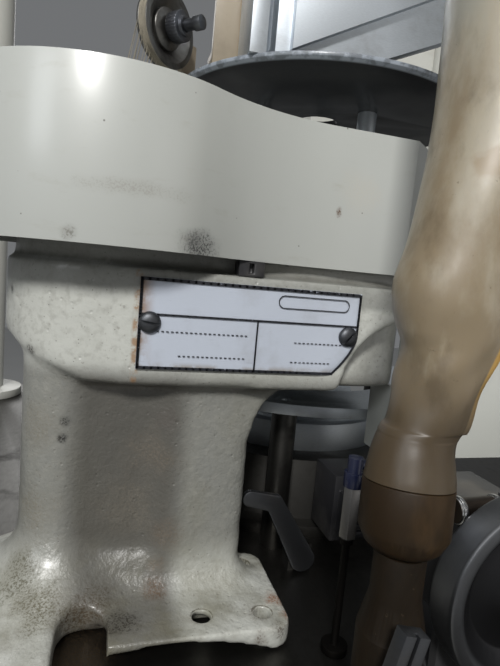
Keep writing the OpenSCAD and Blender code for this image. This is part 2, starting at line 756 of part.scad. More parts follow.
module column_casting() color("antiquewhite") difference() {
    union() {
        translate([0, 0, bed_top_z + foot_t - e]) linear_extrude(column_h - foot_t + 20) column_section();
        foot_flange();
        base_fillets();
        arm_fillet();
        difference() {
            union() {
                translate([0, 0, arm_z]) linear_extrude(arm_h) arm_outline();
                pad();
            }
            head_cut();
        }
        translate([0, 0, arm_top - e]) linear_extrude(riser_z - arm_top) arm_outline(-3);
        translate([0, 0, housing_z]) cylinder(r = housing_r - 6, h = 14);
        for (d = [0.44, 0.58]) at(shaft_x*d, shaft_y*d, arm_top - 1) cylinder(r = 7,
            h = cover_gap + cover_h - cover_t + 1 - 0.02);
    }
    at(shaft_x, shaft_y, bed_top_z - 1) cylinder(r = shaft_r + 3, h = 300);
    at(shaft_x, shaft_y, bed_top_z - 1) cylinder(r = bearing_r, h = bearing_h + 3);
    at(shaft_x, shaft_y, arm_top - bearing_h - 2) cylinder(r = bearing_r, h = 40);
    translate([0, 0, housing_z - 1]) cylinder(r = shaft_r + 3, h = 200);
    translate([0, 0, housing_z - 1]) cylinder(r = bearing_r, h = bearing_h + 3);
    translate([0, 0, arm_top - bearing_h - 2]) cylinder(r = bearing_r, h = 40);
    for (p = foot_holes) at(shaft_x + p[0], shaft_y + p[1], bed_top_z - 1) cylinder(r = foot_hole_r,
        h = 40);
    translate([0, 0, bed_top_z - 1]) linear_extrude(foot_t + 24) hull()
        for (y = [foot_y0 + 11.5, foot_y0 - 20]) translate([notch_x, y]) circle(r = notch_r);
    translate([shaft_x + 31, foot_y0 - 20, bed_top_z + arch_h - arch_r]) rotate([-90, 0, 0])
        cylinder(r = arch_r, h = 42, $fn = 128);
    for (p = plate_screw_places) along_y(p[0], pad_y - 1, p[1]) cylinder(r = screw_r + 0.02, h = 12);
}

// Cover

cover_wall_y = shaft_y - 37;
cover_corner_x = shaft_x + 131.4;
cove_r = 100;
cove_x = shaft_x + sqrt(pow(cover_r + cove_r, 2) - pow(cover_wall_y - cove_r - shaft_y, 2));

// Outline of the cover: round over the column, a slow S curve, a straight front wall, a cut corner
module cover_outline() difference() {
    union() {
        translate([shaft_x, shaft_y]) circle(r = cover_r, $fn = 128);
        hull() {
            circle(r = 58, $fn = 128);
            translate([shaft_x + 12, shaft_y + 12]) circle(r = cover_r - 20, $fn = 96);
            translate([cove_x - 2, cover_wall_y]) square([cover_corner_x - cove_x + 2, 1]);
            translate([cover_corner_x + 21, cover_wall_y + 19]) square(1);
            translate([30, -30]) circle(r = 28);
        }
        polygon([[shaft_x, shaft_y], [cove_x, cover_wall_y - cove_r], [cove_x, shaft_y]]);
    }
    translate([cove_x, cover_wall_y - cove_r]) circle(r = cove_r, $fn = 256);
}

module head_cover() color("ivory") difference() {
    translate([0, 0, cover_z]) linear_extrude(cover_h) cover_outline();
    translate([0, 0, cover_z - 1]) linear_extrude(cover_h - cover_t + 1) offset(delta = -cover_t)
        cover_outline();
}

clip_x = shaft_x + 57;

module cover_clip() color("black") difference() {
    translate([clip_x - 5.5, pad_y + 1, arm_top]) cube([11, 7.5, cover_gap - 0.02]);
    translate([clip_x - 1, pad_y, arm_top + 1.5]) cube([2, 4, 4]);
}

// Nameplate and screws

screw_r = 2.5;
screw_head_r = 4.6;
plate_screw_places = [[plate_x - plate_w/2 + 4.5, plate_z + 0.5],
    [plate_x + plate_w/2 - 4.8, plate_z - 0.8]];
bend_x = plate_x + plate_w/2 - 6;

module nameplate() color("lightsteelblue") difference() {
    translate([plate_x - plate_w/2, pad_y - plate_t, plate_z - plate_h/2])
        cube([plate_w, plate_t, plate_h]);
    translate([plate_x + plate_w/2, pad_y - 2, plate_z - plate_h/2]) rotate([0, 25, 0])
        translate([0, 0, -20]) cube([20, 4, 40]);
    for (p = plate_screw_places) along_y(p[0], pad_y - 2, p[1]) cylinder(r = screw_r + 0.02, h = 4);
}

module nameplate_screws() color("dimgray") for (p = plate_screw_places) difference() {
    union() {
        along_y(p[0], pad_y - plate_t - 0.02, p[1]) cylinder(r = screw_r, h = 9);
        along_y(p[0], pad_y - plate_t - 2.6, p[1]) cylinder(r1 = screw_head_r - 0.7, r2 = screw_head_r,
            h = 1.2);
        along_y(p[0], pad_y - plate_t - 1.4, p[1]) cylinder(r = screw_head_r, h = 1.4);
    }
    translate([p[0] - 6, pad_y - plate_t - 4, p[1] - 0.5]) cube([12, 2.6, 1]);
}

// Above the cover

module guide_disc() color("black") translate([0, 0, disc_z]) difference() {
    rotate_extrude() polygon([[0, 0], [disc_r - 5.7, 0], [disc_r, 3.5], [disc_r, disc_t], [0, disc_t]]);
    translate([0, 0, -1]) cylinder(r = 14, h = 20);
    for (a = standoff_angles) rotate(a) translate([standoff_d, 0, -1]) cylinder(r = 3, h = 20);
}

standoff_angles = [60, 180, 300];
standoff_d = 40;

module disc_standoffs() color("silver") for (a = standoff_angles) rotate(a)
    translate([standoff_d, 0, cover_top]) cylinder(r = 6, h = disc_gap);

bracket_y = shaft_y + 30;

module bracket_plates() color("silver") {
    translate([0, bracket_y + 5, disc_top]) rotate([90, 0, 0]) linear_extrude(10)
        polygon([[shaft_x + 78, 0], [shaft_x + 118, 0], [shaft_x + 196, 36], [shaft_x + 196, 80],
            [shaft_x + 78, 80]]);
    translate([0, bracket_y - 5, disc_top]) rotate([90, 0, 0]) linear_extrude(5)
        polygon([[shaft_x + 86, 4], [shaft_x + 176, 52], [shaft_x + 196, 62], [shaft_x + 196, 80],
            [shaft_x + 86, 80]]);
    translate([shaft_x + 64, bracket_y - 6, disc_top]) cube([9, 28, 80]);
    translate([shaft_x + 73 - e, bracket_y + 16, disc_top]) cube([8, 10, 60]);
    translate([shaft_x + 78, bracket_y + 5 - e, disc_top]) cube([60, 22, 8]);
}

tension_x = shaft_x + 23.7;
tension_y = shaft_y + 58.1;
tension_z = disc_top + 16;
tension_turn = 46;
stud_r = 3;
stud_back = 12;
stud_front = 20;
tan_x = shaft_x + 50;
tan_y = shaft_y + 54;
tan_t = 5;

// Local X runs along the stud, out of the discs' open side
module tension_frame() translate([tension_x, tension_y, tension_z]) rotate(-tension_turn) children();

module tension_bracket() color("tan") difference() {
    union() {
        translate([tan_x, tan_y, disc_top + 10]) cube([17, tan_t, 60]);
        translate([tan_x, tan_y, disc_top]) cube([17, 16, 10 + e]);
        translate([tan_x + 17 - e, tan_y, disc_top + 10]) cube([2.5, 14, 60]);
        translate([tan_x - 5, tan_y + 14, disc_top]) cube([22, 28, 4]);
        tension_frame() {
            translate([-stud_back, -7, -7]) cube([4, 45, 14]);
            translate([-stud_back, 26, -16]) cube([4, 12, 20]);
        }
    }
    tension_frame() along_x(-stud_back - 1, 0, 0) cylinder(r = stud_r + 0.02, h = 6);
}

module tension_stud() color("dimgray") tension_frame() {
    along_x(-stud_back - 2, 0, 0) cylinder(r = stud_r, h = stud_back + 2 + stud_front);
    along_x(-stud_back + 4.02, 0, 0) cylinder(r = 5, h = 3);
    along_x(stud_front - e, 0, 0) cylinder(r = 3.7, h = 5);
}

tension_disc_r = 20.2;

module tension_discs() color("silver") tension_frame() along_x(0, 0, 0) rotate_extrude() difference() {
    polygon([
        [stud_r + fit, -4.6], [6, -4.6], [17, -3.5], [tension_disc_r, -3.5], [tension_disc_r, 3.5],
            [17, 3.5],
        [10.8, -0.6], [10.8, 1.6], [6, 3.4], [stud_r + fit, 3.4]
    ]);
    translate([tension_disc_r + 2, 0]) circle(r = 3);
}

module tension_nut() color("silver") tension_frame() along_x(5.4, 0, 0) difference() {
    union() {
        linear_extrude(7) difference() {
            circle(r = 7.8);
            for (k = [0:29]) rotate(12*k) translate([8.05, 0]) circle(r = 0.5, $fn = 6);
        }
        translate([0, 0, 7 - e]) cylinder(r = 5, h = 1.6);
    }
    translate([0, 0, -1]) cylinder(r = stud_r + fit, h = 20);
}

// Suction duct, hose, sleeve and tail

duct_r = 24;
duct_wall = 2;
duct_bend = 50;
duct_leg = duct_z + 40 - bed_z - 4;
socket_r = duct_r + 1.6;
socket_h = 14;

// A quarter of a ring that turns from +X to +Z
module duct_turn(r) intersection() {
    rotate([90, 0, 0]) rotate_extrude() translate([duct_bend, 0]) circle(r = r);
    translate([0, -duct_bend, 0]) cube([2*duct_bend, 2*duct_bend, 2*duct_bend]);
}

// Pipe, elbow, pipe, elbow and the long leg down through the bed, all of one radius
module duct_way(r, more) {
    at(0, 0, duct_z - more) cylinder(r = r, h = 40 + more);
    at(duct_bend, 0, duct_z + 40) rotate(180) duct_turn(r);
    along_x(duct_bend, 0, duct_z + 40 + duct_bend) cylinder(r = r, h = duct_span - 2*duct_bend);
    at(duct_span - duct_bend, 0, duct_z + 40) duct_turn(r);
    at(duct_span, 0, bed_z + 4 - more) cylinder(r = r, h = duct_leg + more);
}

// The duct swings a little to the back, so that its leg stands clear of the rails below the bed
module suction_duct() color("ivory") translate([duct_x, duct_y, 0]) rotate(duct_swing) difference() {
    union() {
        duct_way(duct_r, 0);
        for (x = [0, duct_span]) at(x, 0, duct_z + 40 - socket_h/2) cylinder(r = socket_r, h = socket_h);
        for (x = [duct_bend, duct_span - duct_bend])
            along_x(x - socket_h/2, 0, duct_z + 40 + duct_bend) cylinder(r = socket_r, h = socket_h);
        at(duct_span, 0, bed_top_z) cylinder(r = duct_r + 14, h = 6);
    }
    duct_way(duct_r - duct_wall, 1);
}

// The hose is swept through its route; every ring is an ellipse that lies flat
hose_n = 24;
hose_wall = 1.6;
hose_rings = len(hose_route);

// The lowest ring lies square to the sleeve's axis; the tilt fades over the first seven rings
function hose_tilt(k, dx, dy) = -max(0, 1 - k/6)*(0.0615*dx + 0.123*dy);

// Point j of ring k; the bore's end rings stand 2 mm proud of the hose's ends
function hose_point(k, j, wall) = let (
        p = hose_route[k],
        a = 360*j/hose_n,
        dx = (p[3] - wall)*cos(a)*0.98 + (p[4] - wall)*sin(a)*0.18,
        dy = (p[4] - wall)*sin(a)*0.98 - (p[3] - wall)*cos(a)*0.18
    )
    [p[0] + dx, p[1] + dy, bed_top_z + p[2] + hose_tilt(k, dx,
        dy) + (wall == 0 ? 0 : k == 0 ? -2 : k == hose_rings - 1 ? 2 : 0)];

module hose_sweep(wall) polyhedron(
    points = [for (k = [0:hose_rings - 1], j = [0:hose_n - 1]) hose_point(k, j, wall)],
    faces = concat(
        [[for (j = [0:hose_n - 1]) j]],
        [for (k = [0:hose_rings - 2], j = [0:hose_n - 1])
            [k*hose_n + j, (k + 1)*hose_n + j, (k + 1)*hose_n + (j + 1)%hose_n, k*hose_n + (j + 1)%hose_n]],
        [[for (j = [hose_n - 1:-1:0]) (hose_rings - 1)*hose_n + j]]
    )
);

module suction_hose() color("tan") difference() {
    hose_sweep(0);
    hose_sweep(hose_wall);
}

sleeve_z = bed_top_z + 68;

// Clear sleeve on the tail's tip; its spigot stands inside the hose's flared end
module hose_sleeve() color("burlywood")
    translate([tail_x + 0.5, tail_y + 0.6, sleeve_z]) rotate([-7, 3.5, 0]) difference() {
        rotate_extrude() polygon([
            [8.9, 0], [12, 2.5], [14.4, 7], [14.4, 22], [11.2, 22], [11.2, 28],
            [9.8, 28], [9.8, 20], [12.8, 17], [12.8, 8], [8.9, 4]
        ]);
        translate([0, 0, -1]) cylinder(r = 8.9, h = 4);
    }

module hose_tail() color("wheat") at(tail_x, tail_y, 0) difference() {
    union() {
        translate([0, 0, bed_top_z - 12]) cylinder(r = 11, h = 54);
        translate([0, 0, bed_top_z + 42 - e]) cylinder(r1 = 11, r2 = 8.2, h = 12);
        translate([0, 0, bed_top_z + 54 - 2*e]) cylinder(r = 8.2, h = 14.8);
    }
    translate([0, 0, bed_top_z - 13]) cylinder(r = 6.4, h = 90);
}

channel_x = -45.5;
channel_y = -233;

// Slotted bar that leans to the right, welded to a foot
bar_h = 56;
bar_lean = 14;

module hose_bracket() color("slategray") {
    difference() {
        translate([channel_x - bar_h*sin(bar_lean), channel_y, bed_top_z]) rotate([0, bar_lean, 0])
            difference() {
            translate([-4.2, 0, -4]) cube([8.4, 5, bar_h + 4]);
            translate([-0.6, -1, 6]) cube([1.2, 3, bar_h]);
            along_y(0, -1, 35) cylinder(r = 1.7, h = 4);
        }
        translate([channel_x - 40, channel_y - 10, bed_top_z - 20]) cube([80, 30, 20]);
    }
    translate([channel_x - 21, channel_y - 9, bed_top_z]) cube([14, 18, 2.5]);
}

// Fittings, feed wheel and spindle

module air_fitting() color("gray") at(fitting_x, fitting_y, bed_top_z) {
    cylinder(r = 5.5, h = 3);
    cylinder(r = 1.6, h = 49);
    translate([0, 0, 47]) cylinder(r = 2.6, h = 4);
    translate([0, 0, 50]) cylinder(r = 3.7, h = 21, $fn = 6);
}

module push_in_fitting() color("midnightblue") at(fitting_x, fitting_y, bed_top_z + 71 + e) {
    cylinder(r = 4, h = 6);
    translate([0, 0, 6 - e]) cylinder(r = 3, h = 6);
    translate([0, 0, 8.8]) rotate([0, 90, 0]) cylinder(r = 2, h = 9);
}

feed_shaft_r = 5;
feed_body_y = wheel_y + wheel_w + 7.5;

module feed_motor() color("dimgray") difference() {
    union() {
        translate([wheel_x - 21, feed_body_y, wheel_z - 21]) cube([42, 45, 42]);
        translate([wheel_x - 26, feed_body_y - 4, bed_top_z]) cube([52, 4 + e, wheel_z - bed_top_z + 16]);
        translate([wheel_x - 5, feed_body_y - 4, bed_top_z]) cube([31, 4 + e, wheel_z - bed_top_z + 32]);
        translate([wheel_x - 26, feed_body_y - 4, bed_top_z]) cube([52, 45, 4]);
    }
    along_y(wheel_x, feed_body_y - 10, wheel_z) cylinder(r = feed_shaft_r + fit, h = 40);
    along_x(wheel_x - 30, feed_body_y - 2, wheel_z + 26.5) cylinder(r = 1.5, h = 40);
}

// Dished wheel: deep rim, thin web, dark hub
module feed_wheel() color("gray") along_y(wheel_x, wheel_y, wheel_z) {
    rotate_extrude() polygon([
        [0, 1], [9, 1], [9, 4], [14, 6], [24, 7], [29, 3], [wheel_r - 5, 0], [wheel_r - 1, 0],
            [wheel_r, 1], [wheel_r, wheel_w - 1],
        [wheel_r - 1, wheel_w], [wheel_r - 4, wheel_w], [wheel_r - 5.5, 6], [26, 9], [14, 9], [9, 10],
            [9, wheel_w], [0, wheel_w]
    ]);
    translate([0, 0, wheel_w - e]) cylinder(r = feed_shaft_r, h = 30);
}

spindle_y = feed_body_y - 4;

module ringed_spindle() color("silver") along_x(wheel_x - 26, spindle_y + 2, wheel_z + 26.5) {
    cylinder(r = 4.7, h = 21);
    cylinder(r = 1.45, h = 34);
    for (x = [0.8, 17.5]) translate([0, 0, x]) cylinder(r = 5.3, h = 1.6);
}

// White guard at the arm's right end

guard_y = shaft_y - 33;
guard_x = wing_x + 11;

module side_guard() color("ivory") {
    translate([guard_x, guard_y, arm_z - 36]) cube([92, sheet_t, 41 + 30]);
    translate([guard_x, guard_y, arm_z - 36]) cube([sheet_t, 24, 36 - 0.02]);
    translate([guard_x - 12, guard_y + 14, arm_z - 0.02 - sheet_t]) cube([12 + e, 16, sheet_t]);
    translate([guard_x + 90, guard_y, arm_z - 36]) cube([sheet_t, 40, 71]);
}

// Cane-shaped lever that turns on its own pin in the bed's lug
lever_x = -31;
lever_y = -119;
lever_z = bed_top_z + 8;
lever_pin_r = 3;

module set_lever() color("slategray") {
    translate([lever_x, lever_y + 1.6, lever_z]) rotate([90, 0, 0]) linear_extrude(3.2) {
        hull() {
            circle(r = 6.5);
            translate([-18, 31]) circle(r = 4.5);
        }
        hull() {
            translate([-18, 31]) circle(r = 4.5);
            translate([-31, 34]) circle(r = 4);
        }
    }
    along_y(lever_x, lever_y, lever_z) cylinder(r = lever_pin_r, h = 13);
}

// Control box on a post, and its buttons

post_top = box_z + box_h - 22;
box_wall = 2.5;
pole_r = 12;

module control_post() color("lightgray") at(box_x, box_y, bed_top_z) {
    cylinder(r = 30, h = 8);
    cylinder(r = pole_r, h = post_top - bed_top_z);
    translate([0, 0, box_z - 68 - bed_top_z]) cylinder(r = 16, h = 8 - 0.02);
}

module control_box() color("gainsboro") difference() {
    union() {
        difference() {
            translate([box_x - box_w + 40, box_y + 6, box_z]) cube([box_w, box_d, box_h]);
            translate([box_x - box_w + 40 + box_wall, box_y + 6 + box_wall, box_z + box_wall])
                cube([box_w - 2*box_wall, box_d - 2*box_wall, box_h - 2*box_wall]);
        }
        at(box_x, box_y, box_z - 60) cylinder(r = 16, h = box_h + 60);
        translate([screen_x - 3, box_y + 6 + box_d - 6, screen_z - 3])
            cube([screen_w + 6, 5, screen_h + 6]);
    }
    translate([screen_x, box_y + 6 + box_d - 3, screen_z]) cube([screen_w, 4, screen_h]);
    at(box_x, box_y, box_z - 61) cylinder(r = pole_r + fit, h = box_h + 40);
    for (x = button_xs) along_y(x, box_y + box_d - 20, box_z + 30) cylinder(r = 5 + fit, h = 40);
    at(box_x - box_w + 80, box_y + 36, box_z - 1) cylinder(r = 10, h = box_wall + 2);
}

screen_x = box_x - box_w + 58;
screen_z = box_z + 60;
screen_w = box_w - 70;
screen_h = box_h - 76;
button_xs = [box_x - 20, box_x - 60];

module stop_button() color("red") along_y(button_xs[0], box_y + box_d - 14, box_z + 30) {
    cylinder(r = 5, h = 32);
    translate([0, 0, 28]) rotate_extrude() polygon([[0, 0], [15, 0], [17, 3], [15, 8], [8, 11], [0, 12]]);
}

module start_button() color("green") along_y(button_xs[1], box_y + box_d - 14, box_z + 30) {
    cylinder(r = 5, h = 26);
    translate([0, 0, 24]) cylinder(r = 10, h = 6);
}

// Creel

module peg(x, y) at(x, y, bed_top_z + creel_h) {
    cylinder(r1 = 22, r2 = 10, h = 8);
    cylinder(r = 6, h = 120);
}

plate_cx = creel_x + (creel_r - 35)*cos(45);
plate_cy = creel_y - (creel_r - 35)*sin(45);

module creel() color("lightgray") {
    at(creel_x, creel_y, bed_top_z) cylinder(r = 35, h = 8);
    at(creel_x, creel_y, bed_top_z) cylinder(r = 17, h = creel_h - 3);
    at(plate_cx, plate_cy, bed_top_z + creel_h - 4) ring(creel_r, creel_r - 70, 4);
    for (k = [0:peg_n - 1]) peg(plate_cx + (creel_r - 35)*cos(360*k/peg_n + 15),
        plate_cy + (creel_r - 35)*sin(360*k/peg_n + 15));
}

base_frame();
left_panel();
right_panel();
rear_panel();
front_door();
door_latch();
bed_plate();
bed_bolts();
motor_bracket();
motor();
motor_pulley();
drive_belt();
cylinder_belt();
main_shaft();
shaft_pulleys();
ball_bearings();
cylinder_bearing();
cylinder_pulley();
needle_cylinder();
needles();
cam_box();
selector_blocks();
sinker_cap();
finger_ring();
yarn_finger_1();
yarn_finger_2();
yarn_finger_3();
dial();
dial_shaft();
dial_pulley();
head_belt();
column_casting();
head_cover();
cover_clip();
nameplate();
nameplate_screws();
guide_disc();
disc_standoffs();
bracket_plates();
tension_bracket();
tension_stud();
tension_discs();
tension_nut();
suction_duct();
suction_hose();
hose_sleeve();
hose_tail();
hose_bracket();
air_fitting();
push_in_fitting();
feed_motor();
feed_wheel();
ringed_spindle();
side_guard();
set_lever();
control_post();
control_box();
stop_button();
start_button();
creel();
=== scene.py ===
import json
import math
import random

import bmesh
import bpy
from mathutils import Matrix, Vector, noise


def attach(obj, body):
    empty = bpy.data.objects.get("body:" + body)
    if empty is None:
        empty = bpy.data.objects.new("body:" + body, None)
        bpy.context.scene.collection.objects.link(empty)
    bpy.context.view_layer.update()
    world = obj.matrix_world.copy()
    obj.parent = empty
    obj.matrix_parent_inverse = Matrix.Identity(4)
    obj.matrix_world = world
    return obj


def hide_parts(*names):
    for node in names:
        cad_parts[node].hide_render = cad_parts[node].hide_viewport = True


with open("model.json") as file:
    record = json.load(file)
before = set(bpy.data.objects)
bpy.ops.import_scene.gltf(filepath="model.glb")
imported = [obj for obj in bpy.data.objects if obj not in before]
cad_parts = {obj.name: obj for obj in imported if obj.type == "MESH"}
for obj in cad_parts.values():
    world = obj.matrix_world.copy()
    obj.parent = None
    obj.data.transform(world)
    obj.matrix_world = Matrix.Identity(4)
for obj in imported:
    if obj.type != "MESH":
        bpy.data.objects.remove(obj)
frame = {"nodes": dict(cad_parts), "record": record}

MM = 0.001
# How Look.reach measures: all ways alike, from a line along Z or along Y, and along X only.
EVEN, FROM_Z, FROM_Y, ALONG_X = (1, 1, 1), (1, 1, 0.001), (1, 0.001, 1), (1, 0.001, 0.001)
nodes, record = frame["nodes"], frame["record"]
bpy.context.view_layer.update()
home = {node: body for body, members in record["behaviour"]["bodies"].items() for node in members}
slots = {entry["node"]: entry["material_slot"] for entry in record["subparts"]}
random.seed(7)

# Camera: close to the column's head, turned a little to the right, tilted down and rolled.
CAMERA_PLACE = (-134, -342, 1010.7)
LENS, SENSOR, CLIP = 27.03, 36, 0.01
yaw, pitch, roll = (math.radians(a) for a in (16.1, -6.7, 5.2))
level = Vector((math.cos(yaw), -math.sin(yaw), 0))
ahead = Vector((math.sin(yaw)*math.cos(pitch), math.cos(yaw)*math.cos(pitch), math.sin(pitch)))
above = level.cross(ahead)
across = math.cos(roll)*level + math.sin(roll)*above
upward = math.cos(roll)*above - math.sin(roll)*level
camera = bpy.data.objects.new("camera", bpy.data.cameras.new("camera"))
camera.data.lens, camera.data.sensor_width = LENS, SENSOR
camera.data.clip_start = CLIP
facing = Matrix((across, upward, -ahead)).transposed().to_4x4()
camera.matrix_world = Matrix.Translation(Vector(CAMERA_PLACE)*MM) @ facing
bpy.context.collection.objects.link(camera)
bpy.context.scene.camera = camera


# Lights: a lamp high in front at the left, a soft window further left, a weak fill at the right, panels overhead
# and behind.
def area_light(name, place, target, size, height, power, colour=(1, 1, 1)):
    """A rectangular lamp that looks at its target; size is its width."""
    light = bpy.data.lights.new(name, "AREA")
    light.shape = "RECTANGLE"
    light.size, light.size_y, light.energy, light.color = size, height, power, colour
    lamp = bpy.data.objects.new(name, light)
    lamp.location = place
    lamp.rotation_euler = (Vector(target) - Vector(place)).to_track_quat("-Z", "Y").to_euler()
    bpy.context.collection.objects.link(lamp)


area_light("key", (-0.7, -1.68, 2.22), (-0.1, -0.1, 0.98), 0.32, 0.32, 40, (1, 0.99, 0.97))
area_light("window", (-1.6, -1.35, 1.8), (-0.1, -0.1, 1.0), 0.5, 0.9, 7, (0.93, 0.97, 1))
area_light("fill", (1.4, -1.7, 1.1), (0, 0, 0.8), 1.4, 1.6, 4, (1, 0.98, 0.95))
area_light("overhead", (0.1, -0.2, 3.6), (0, 0, 1.0), 1.8, 1.8, 18)
area_light("behind", (-0.4, 2.4, 2.2), (0, 0, 0.9), 1.6, 1.6, 18)
world = bpy.data.worlds.new("studio")
world.use_nodes = True
sky = world.node_tree.nodes["Background"].inputs
sky["Color"].default_value = (0.62, 0.64, 0.66, 1)
sky["Strength"].default_value = 0.26
bpy.context.scene.world = world
bpy.context.scene.view_settings.view_transform = "Standard"


class Look:
    """A procedural material in object space: a base colour, then layers over it where a mask is 1."""

    def __init__(self, name, colour, rough, metal=0.0, **sockets):
        self.material = bpy.data.materials.new(name)
        self.material.use_nodes = True
        self.tree = self.material.node_tree
        self.shader = self.tree.nodes["Principled BSDF"]
        self.shader.inputs["Metallic"].default_value = metal
        for key, value in sockets.items():
            self.shader.inputs[key.replace("_", " ")].default_value = value
        self.place = self.node("ShaderNodeTexCoord").outputs["Object"]
        self.colour, self.rough, self.height = (*colour, 1), rough, None

    def node(self, kind, inputs=(), **properties):
        made = self.tree.nodes.new(kind)
        for key, value in properties.items():
            setattr(made, key, value)
        for key, value in dict(inputs).items():
            if isinstance(value, bpy.types.NodeSocket):
                self.tree.links.new(value, made.inputs[key])
            else:
                made.inputs[key].default_value = value
        return made

    def maths(self, operation, a, b=0.0):
        clamped = operation in ("MULTIPLY", "MAXIMUM")
        return self.node("ShaderNodeMath", {0: a, 1: b}, operation=operation, use_clamp=clamped).outputs[0]

    def both(self, one, other):
        """A mask that is 1 where both masks are."""
        return self.maths("MULTIPLY", one, other)

    def fade(self, value, low, high):
        """0 at low and 1 at high, smooth between."""
        inputs = {"Value": value, "From Min": low, "From Max": high}
        return self.node("ShaderNodeMapRange", inputs, interpolation_type="SMOOTHSTEP").outputs[0]

    def moved(self, stretch=EVEN, shift=0.0):
        inputs = {"Vector": self.place, "Scale": stretch, "Location": (shift, shift, shift)}
        return self.node("ShaderNodeMapping", inputs).outputs[0]

    def noise(self, scale, detail=3.0, stretch=EVEN, shift=0.0):
        inputs = {"Vector": self.moved(stretch, shift), "Scale": scale, "Detail": detail, "Roughness": 0.6}
        return self.node("ShaderNodeTexNoise", inputs).outputs["Fac"]

    def cells(self, scale, shift=0.0):
        inputs = {"Vector": self.moved(shift=shift), "Scale": scale}
        return self.node("ShaderNodeTexVoronoi", inputs).outputs["Distance"]

    def axis(self, name):
        return self.node("ShaderNodeSeparateXYZ", {0: self.place}).outputs[name]

    def reach(self, point, stretch=EVEN):
        """Distance in metres from a point in millimetres."""
        centre = Vector([a*b for a, b in zip(Vector(point)*MM, stretch)])
        inputs = {0: self.moved(stretch), 1: centre}
        return self.node("ShaderNodeVectorMath", inputs, operation="DISTANCE").outputs["Value"]

    def spot(self, point, radius, ragged=1.0, grain=120, stretch=EVEN, detail=4, edge=(1, 0.55)):
        """A ragged blot about a point, both in millimetres; edge says where it starts and is full, in radii."""
        swing = radius*MM*ragged
        wander = self.maths("MULTIPLY_ADD", self.noise(grain, detail, shift=point[0]*0.01), swing*2)
        wander.node.inputs[2].default_value = -swing
        away = self.maths("ADD", self.reach(point, stretch), wander)
        return self.fade(away, radius*MM*edge[0], radius*MM*edge[1])

    def stain(self, point, radius, colour, amount=0.8, stretch=EVEN):
        """A soft-edged stain about a point, both in millimetres: a light tint with fine grain in it."""
        soft = self.spot(point, radius, 0.8, 90, stretch, 5, (1.2, 0.2))
        self.layer(soft, colour, amount=amount*0.45)
        grain = self.maths("ADD", self.noise(1250, 5, shift=radius), self.maths("MULTIPLY", soft, 0.1))
        return self.layer(self.both(soft, self.fade(grain, 0.56, 0.68)), colour, 0.6, amount)

    def layer(self, mask, colour=None, rough=None, amount=1.0):
        """Lays a colour or a roughness, or both, over what is there."""
        if amount != 1.0:
            mask = self.maths("MULTIPLY", mask, amount)
        if colour is not None:
            mixed = self.node("ShaderNodeMix", {0: mask, 6: self.colour, 7: (*colour, 1)}, data_type="RGBA")
            self.colour = mixed.outputs[2]
        if rough is not None:
            mixed = self.node("ShaderNodeMix", {0: mask, 2: self.rough, 3: rough}, data_type="FLOAT")
            self.rough = mixed.outputs[0]
        return self

    def raise_by(self, mask, millimetres):
        """Adds to the height of the surface, in millimetres where the mask is 1."""
        step = self.maths("MULTIPLY_ADD", mask, millimetres)
        if self.height is not None:
            self.tree.links.new(self.height, step.node.inputs[2])
        self.height = step
        return self

    def done(self):
        """Joins all to the shader and gives the material."""
        for key, value in (("Base Color", self.colour), ("Roughness", self.rough)):
            if isinstance(value, bpy.types.NodeSocket):
                self.tree.links.new(value, self.shader.inputs[key])
            else:
                self.shader.inputs[key].default_value = value
        if self.height is not None:
            bump = self.node("ShaderNodeBump", {"Height": self.height, "Distance": MM, "Strength": 1.0})
            self.tree.links.new(bump.outputs[0], self.shader.inputs["Normal"])
        return self.material


def enamel(name, colour, rough=0.32, peel=0.02, grime=(0.16, 0.13, 0.09), dirt=0.35, **sockets):
    """Paint with orange peel, uneven gloss, faint grime and fine dark specks."""
    look = Look(name, colour, rough, Coat_Weight=0.25, Coat_Roughness=0.2, **sockets)
    look.layer(look.noise(9, 3), tuple(c*0.9 for c in colour), amount=0.6)
    look.layer(look.fade(look.noise(26, 6, shift=3), 0.5, 0.78), grime, 0.5, amount=dirt)
    look.layer(look.fade(look.noise(700, 2, shift=1), 0.72, 0.78), grime, 0.6, amount=0.7*dirt)
    look.layer(look.noise(60, 3), rough=rough + 0.16)
    look.raise_by(look.noise(420, 2), peel)
    return look


def steel(name, colour, rough, brush=(1, 1, 14), scale=60, stain=(0.10, 0.07, 0.04), stained=0.35, depth=0.006):
    """Machined metal: fine lines along one way, smears and a few brown stains."""
    look = Look(name, colour, rough, metal=1.0)
    lines = look.noise(scale*8, 4, stretch=brush)
    look.layer(lines, tuple(c*0.72 for c in colour), rough + 0.14)
    look.layer(look.fade(look.noise(38, 5, shift=4), 0.52, 0.8), stain, 0.6, amount=stained)
    look.raise_by(lines, depth)
    return look


def plastic(name, colour, rough, grain=0.01, dust=0.2):
    """Moulded plastic with pale dust and fine grain."""
    look = Look(name, colour, rough)
    look.layer(look.fade(look.noise(30, 5), 0.45, 0.8), (0.3, 0.28, 0.25), rough + 0.2, amount=dust)
    look.raise_by(look.noise(900, 2), grain)
    return look


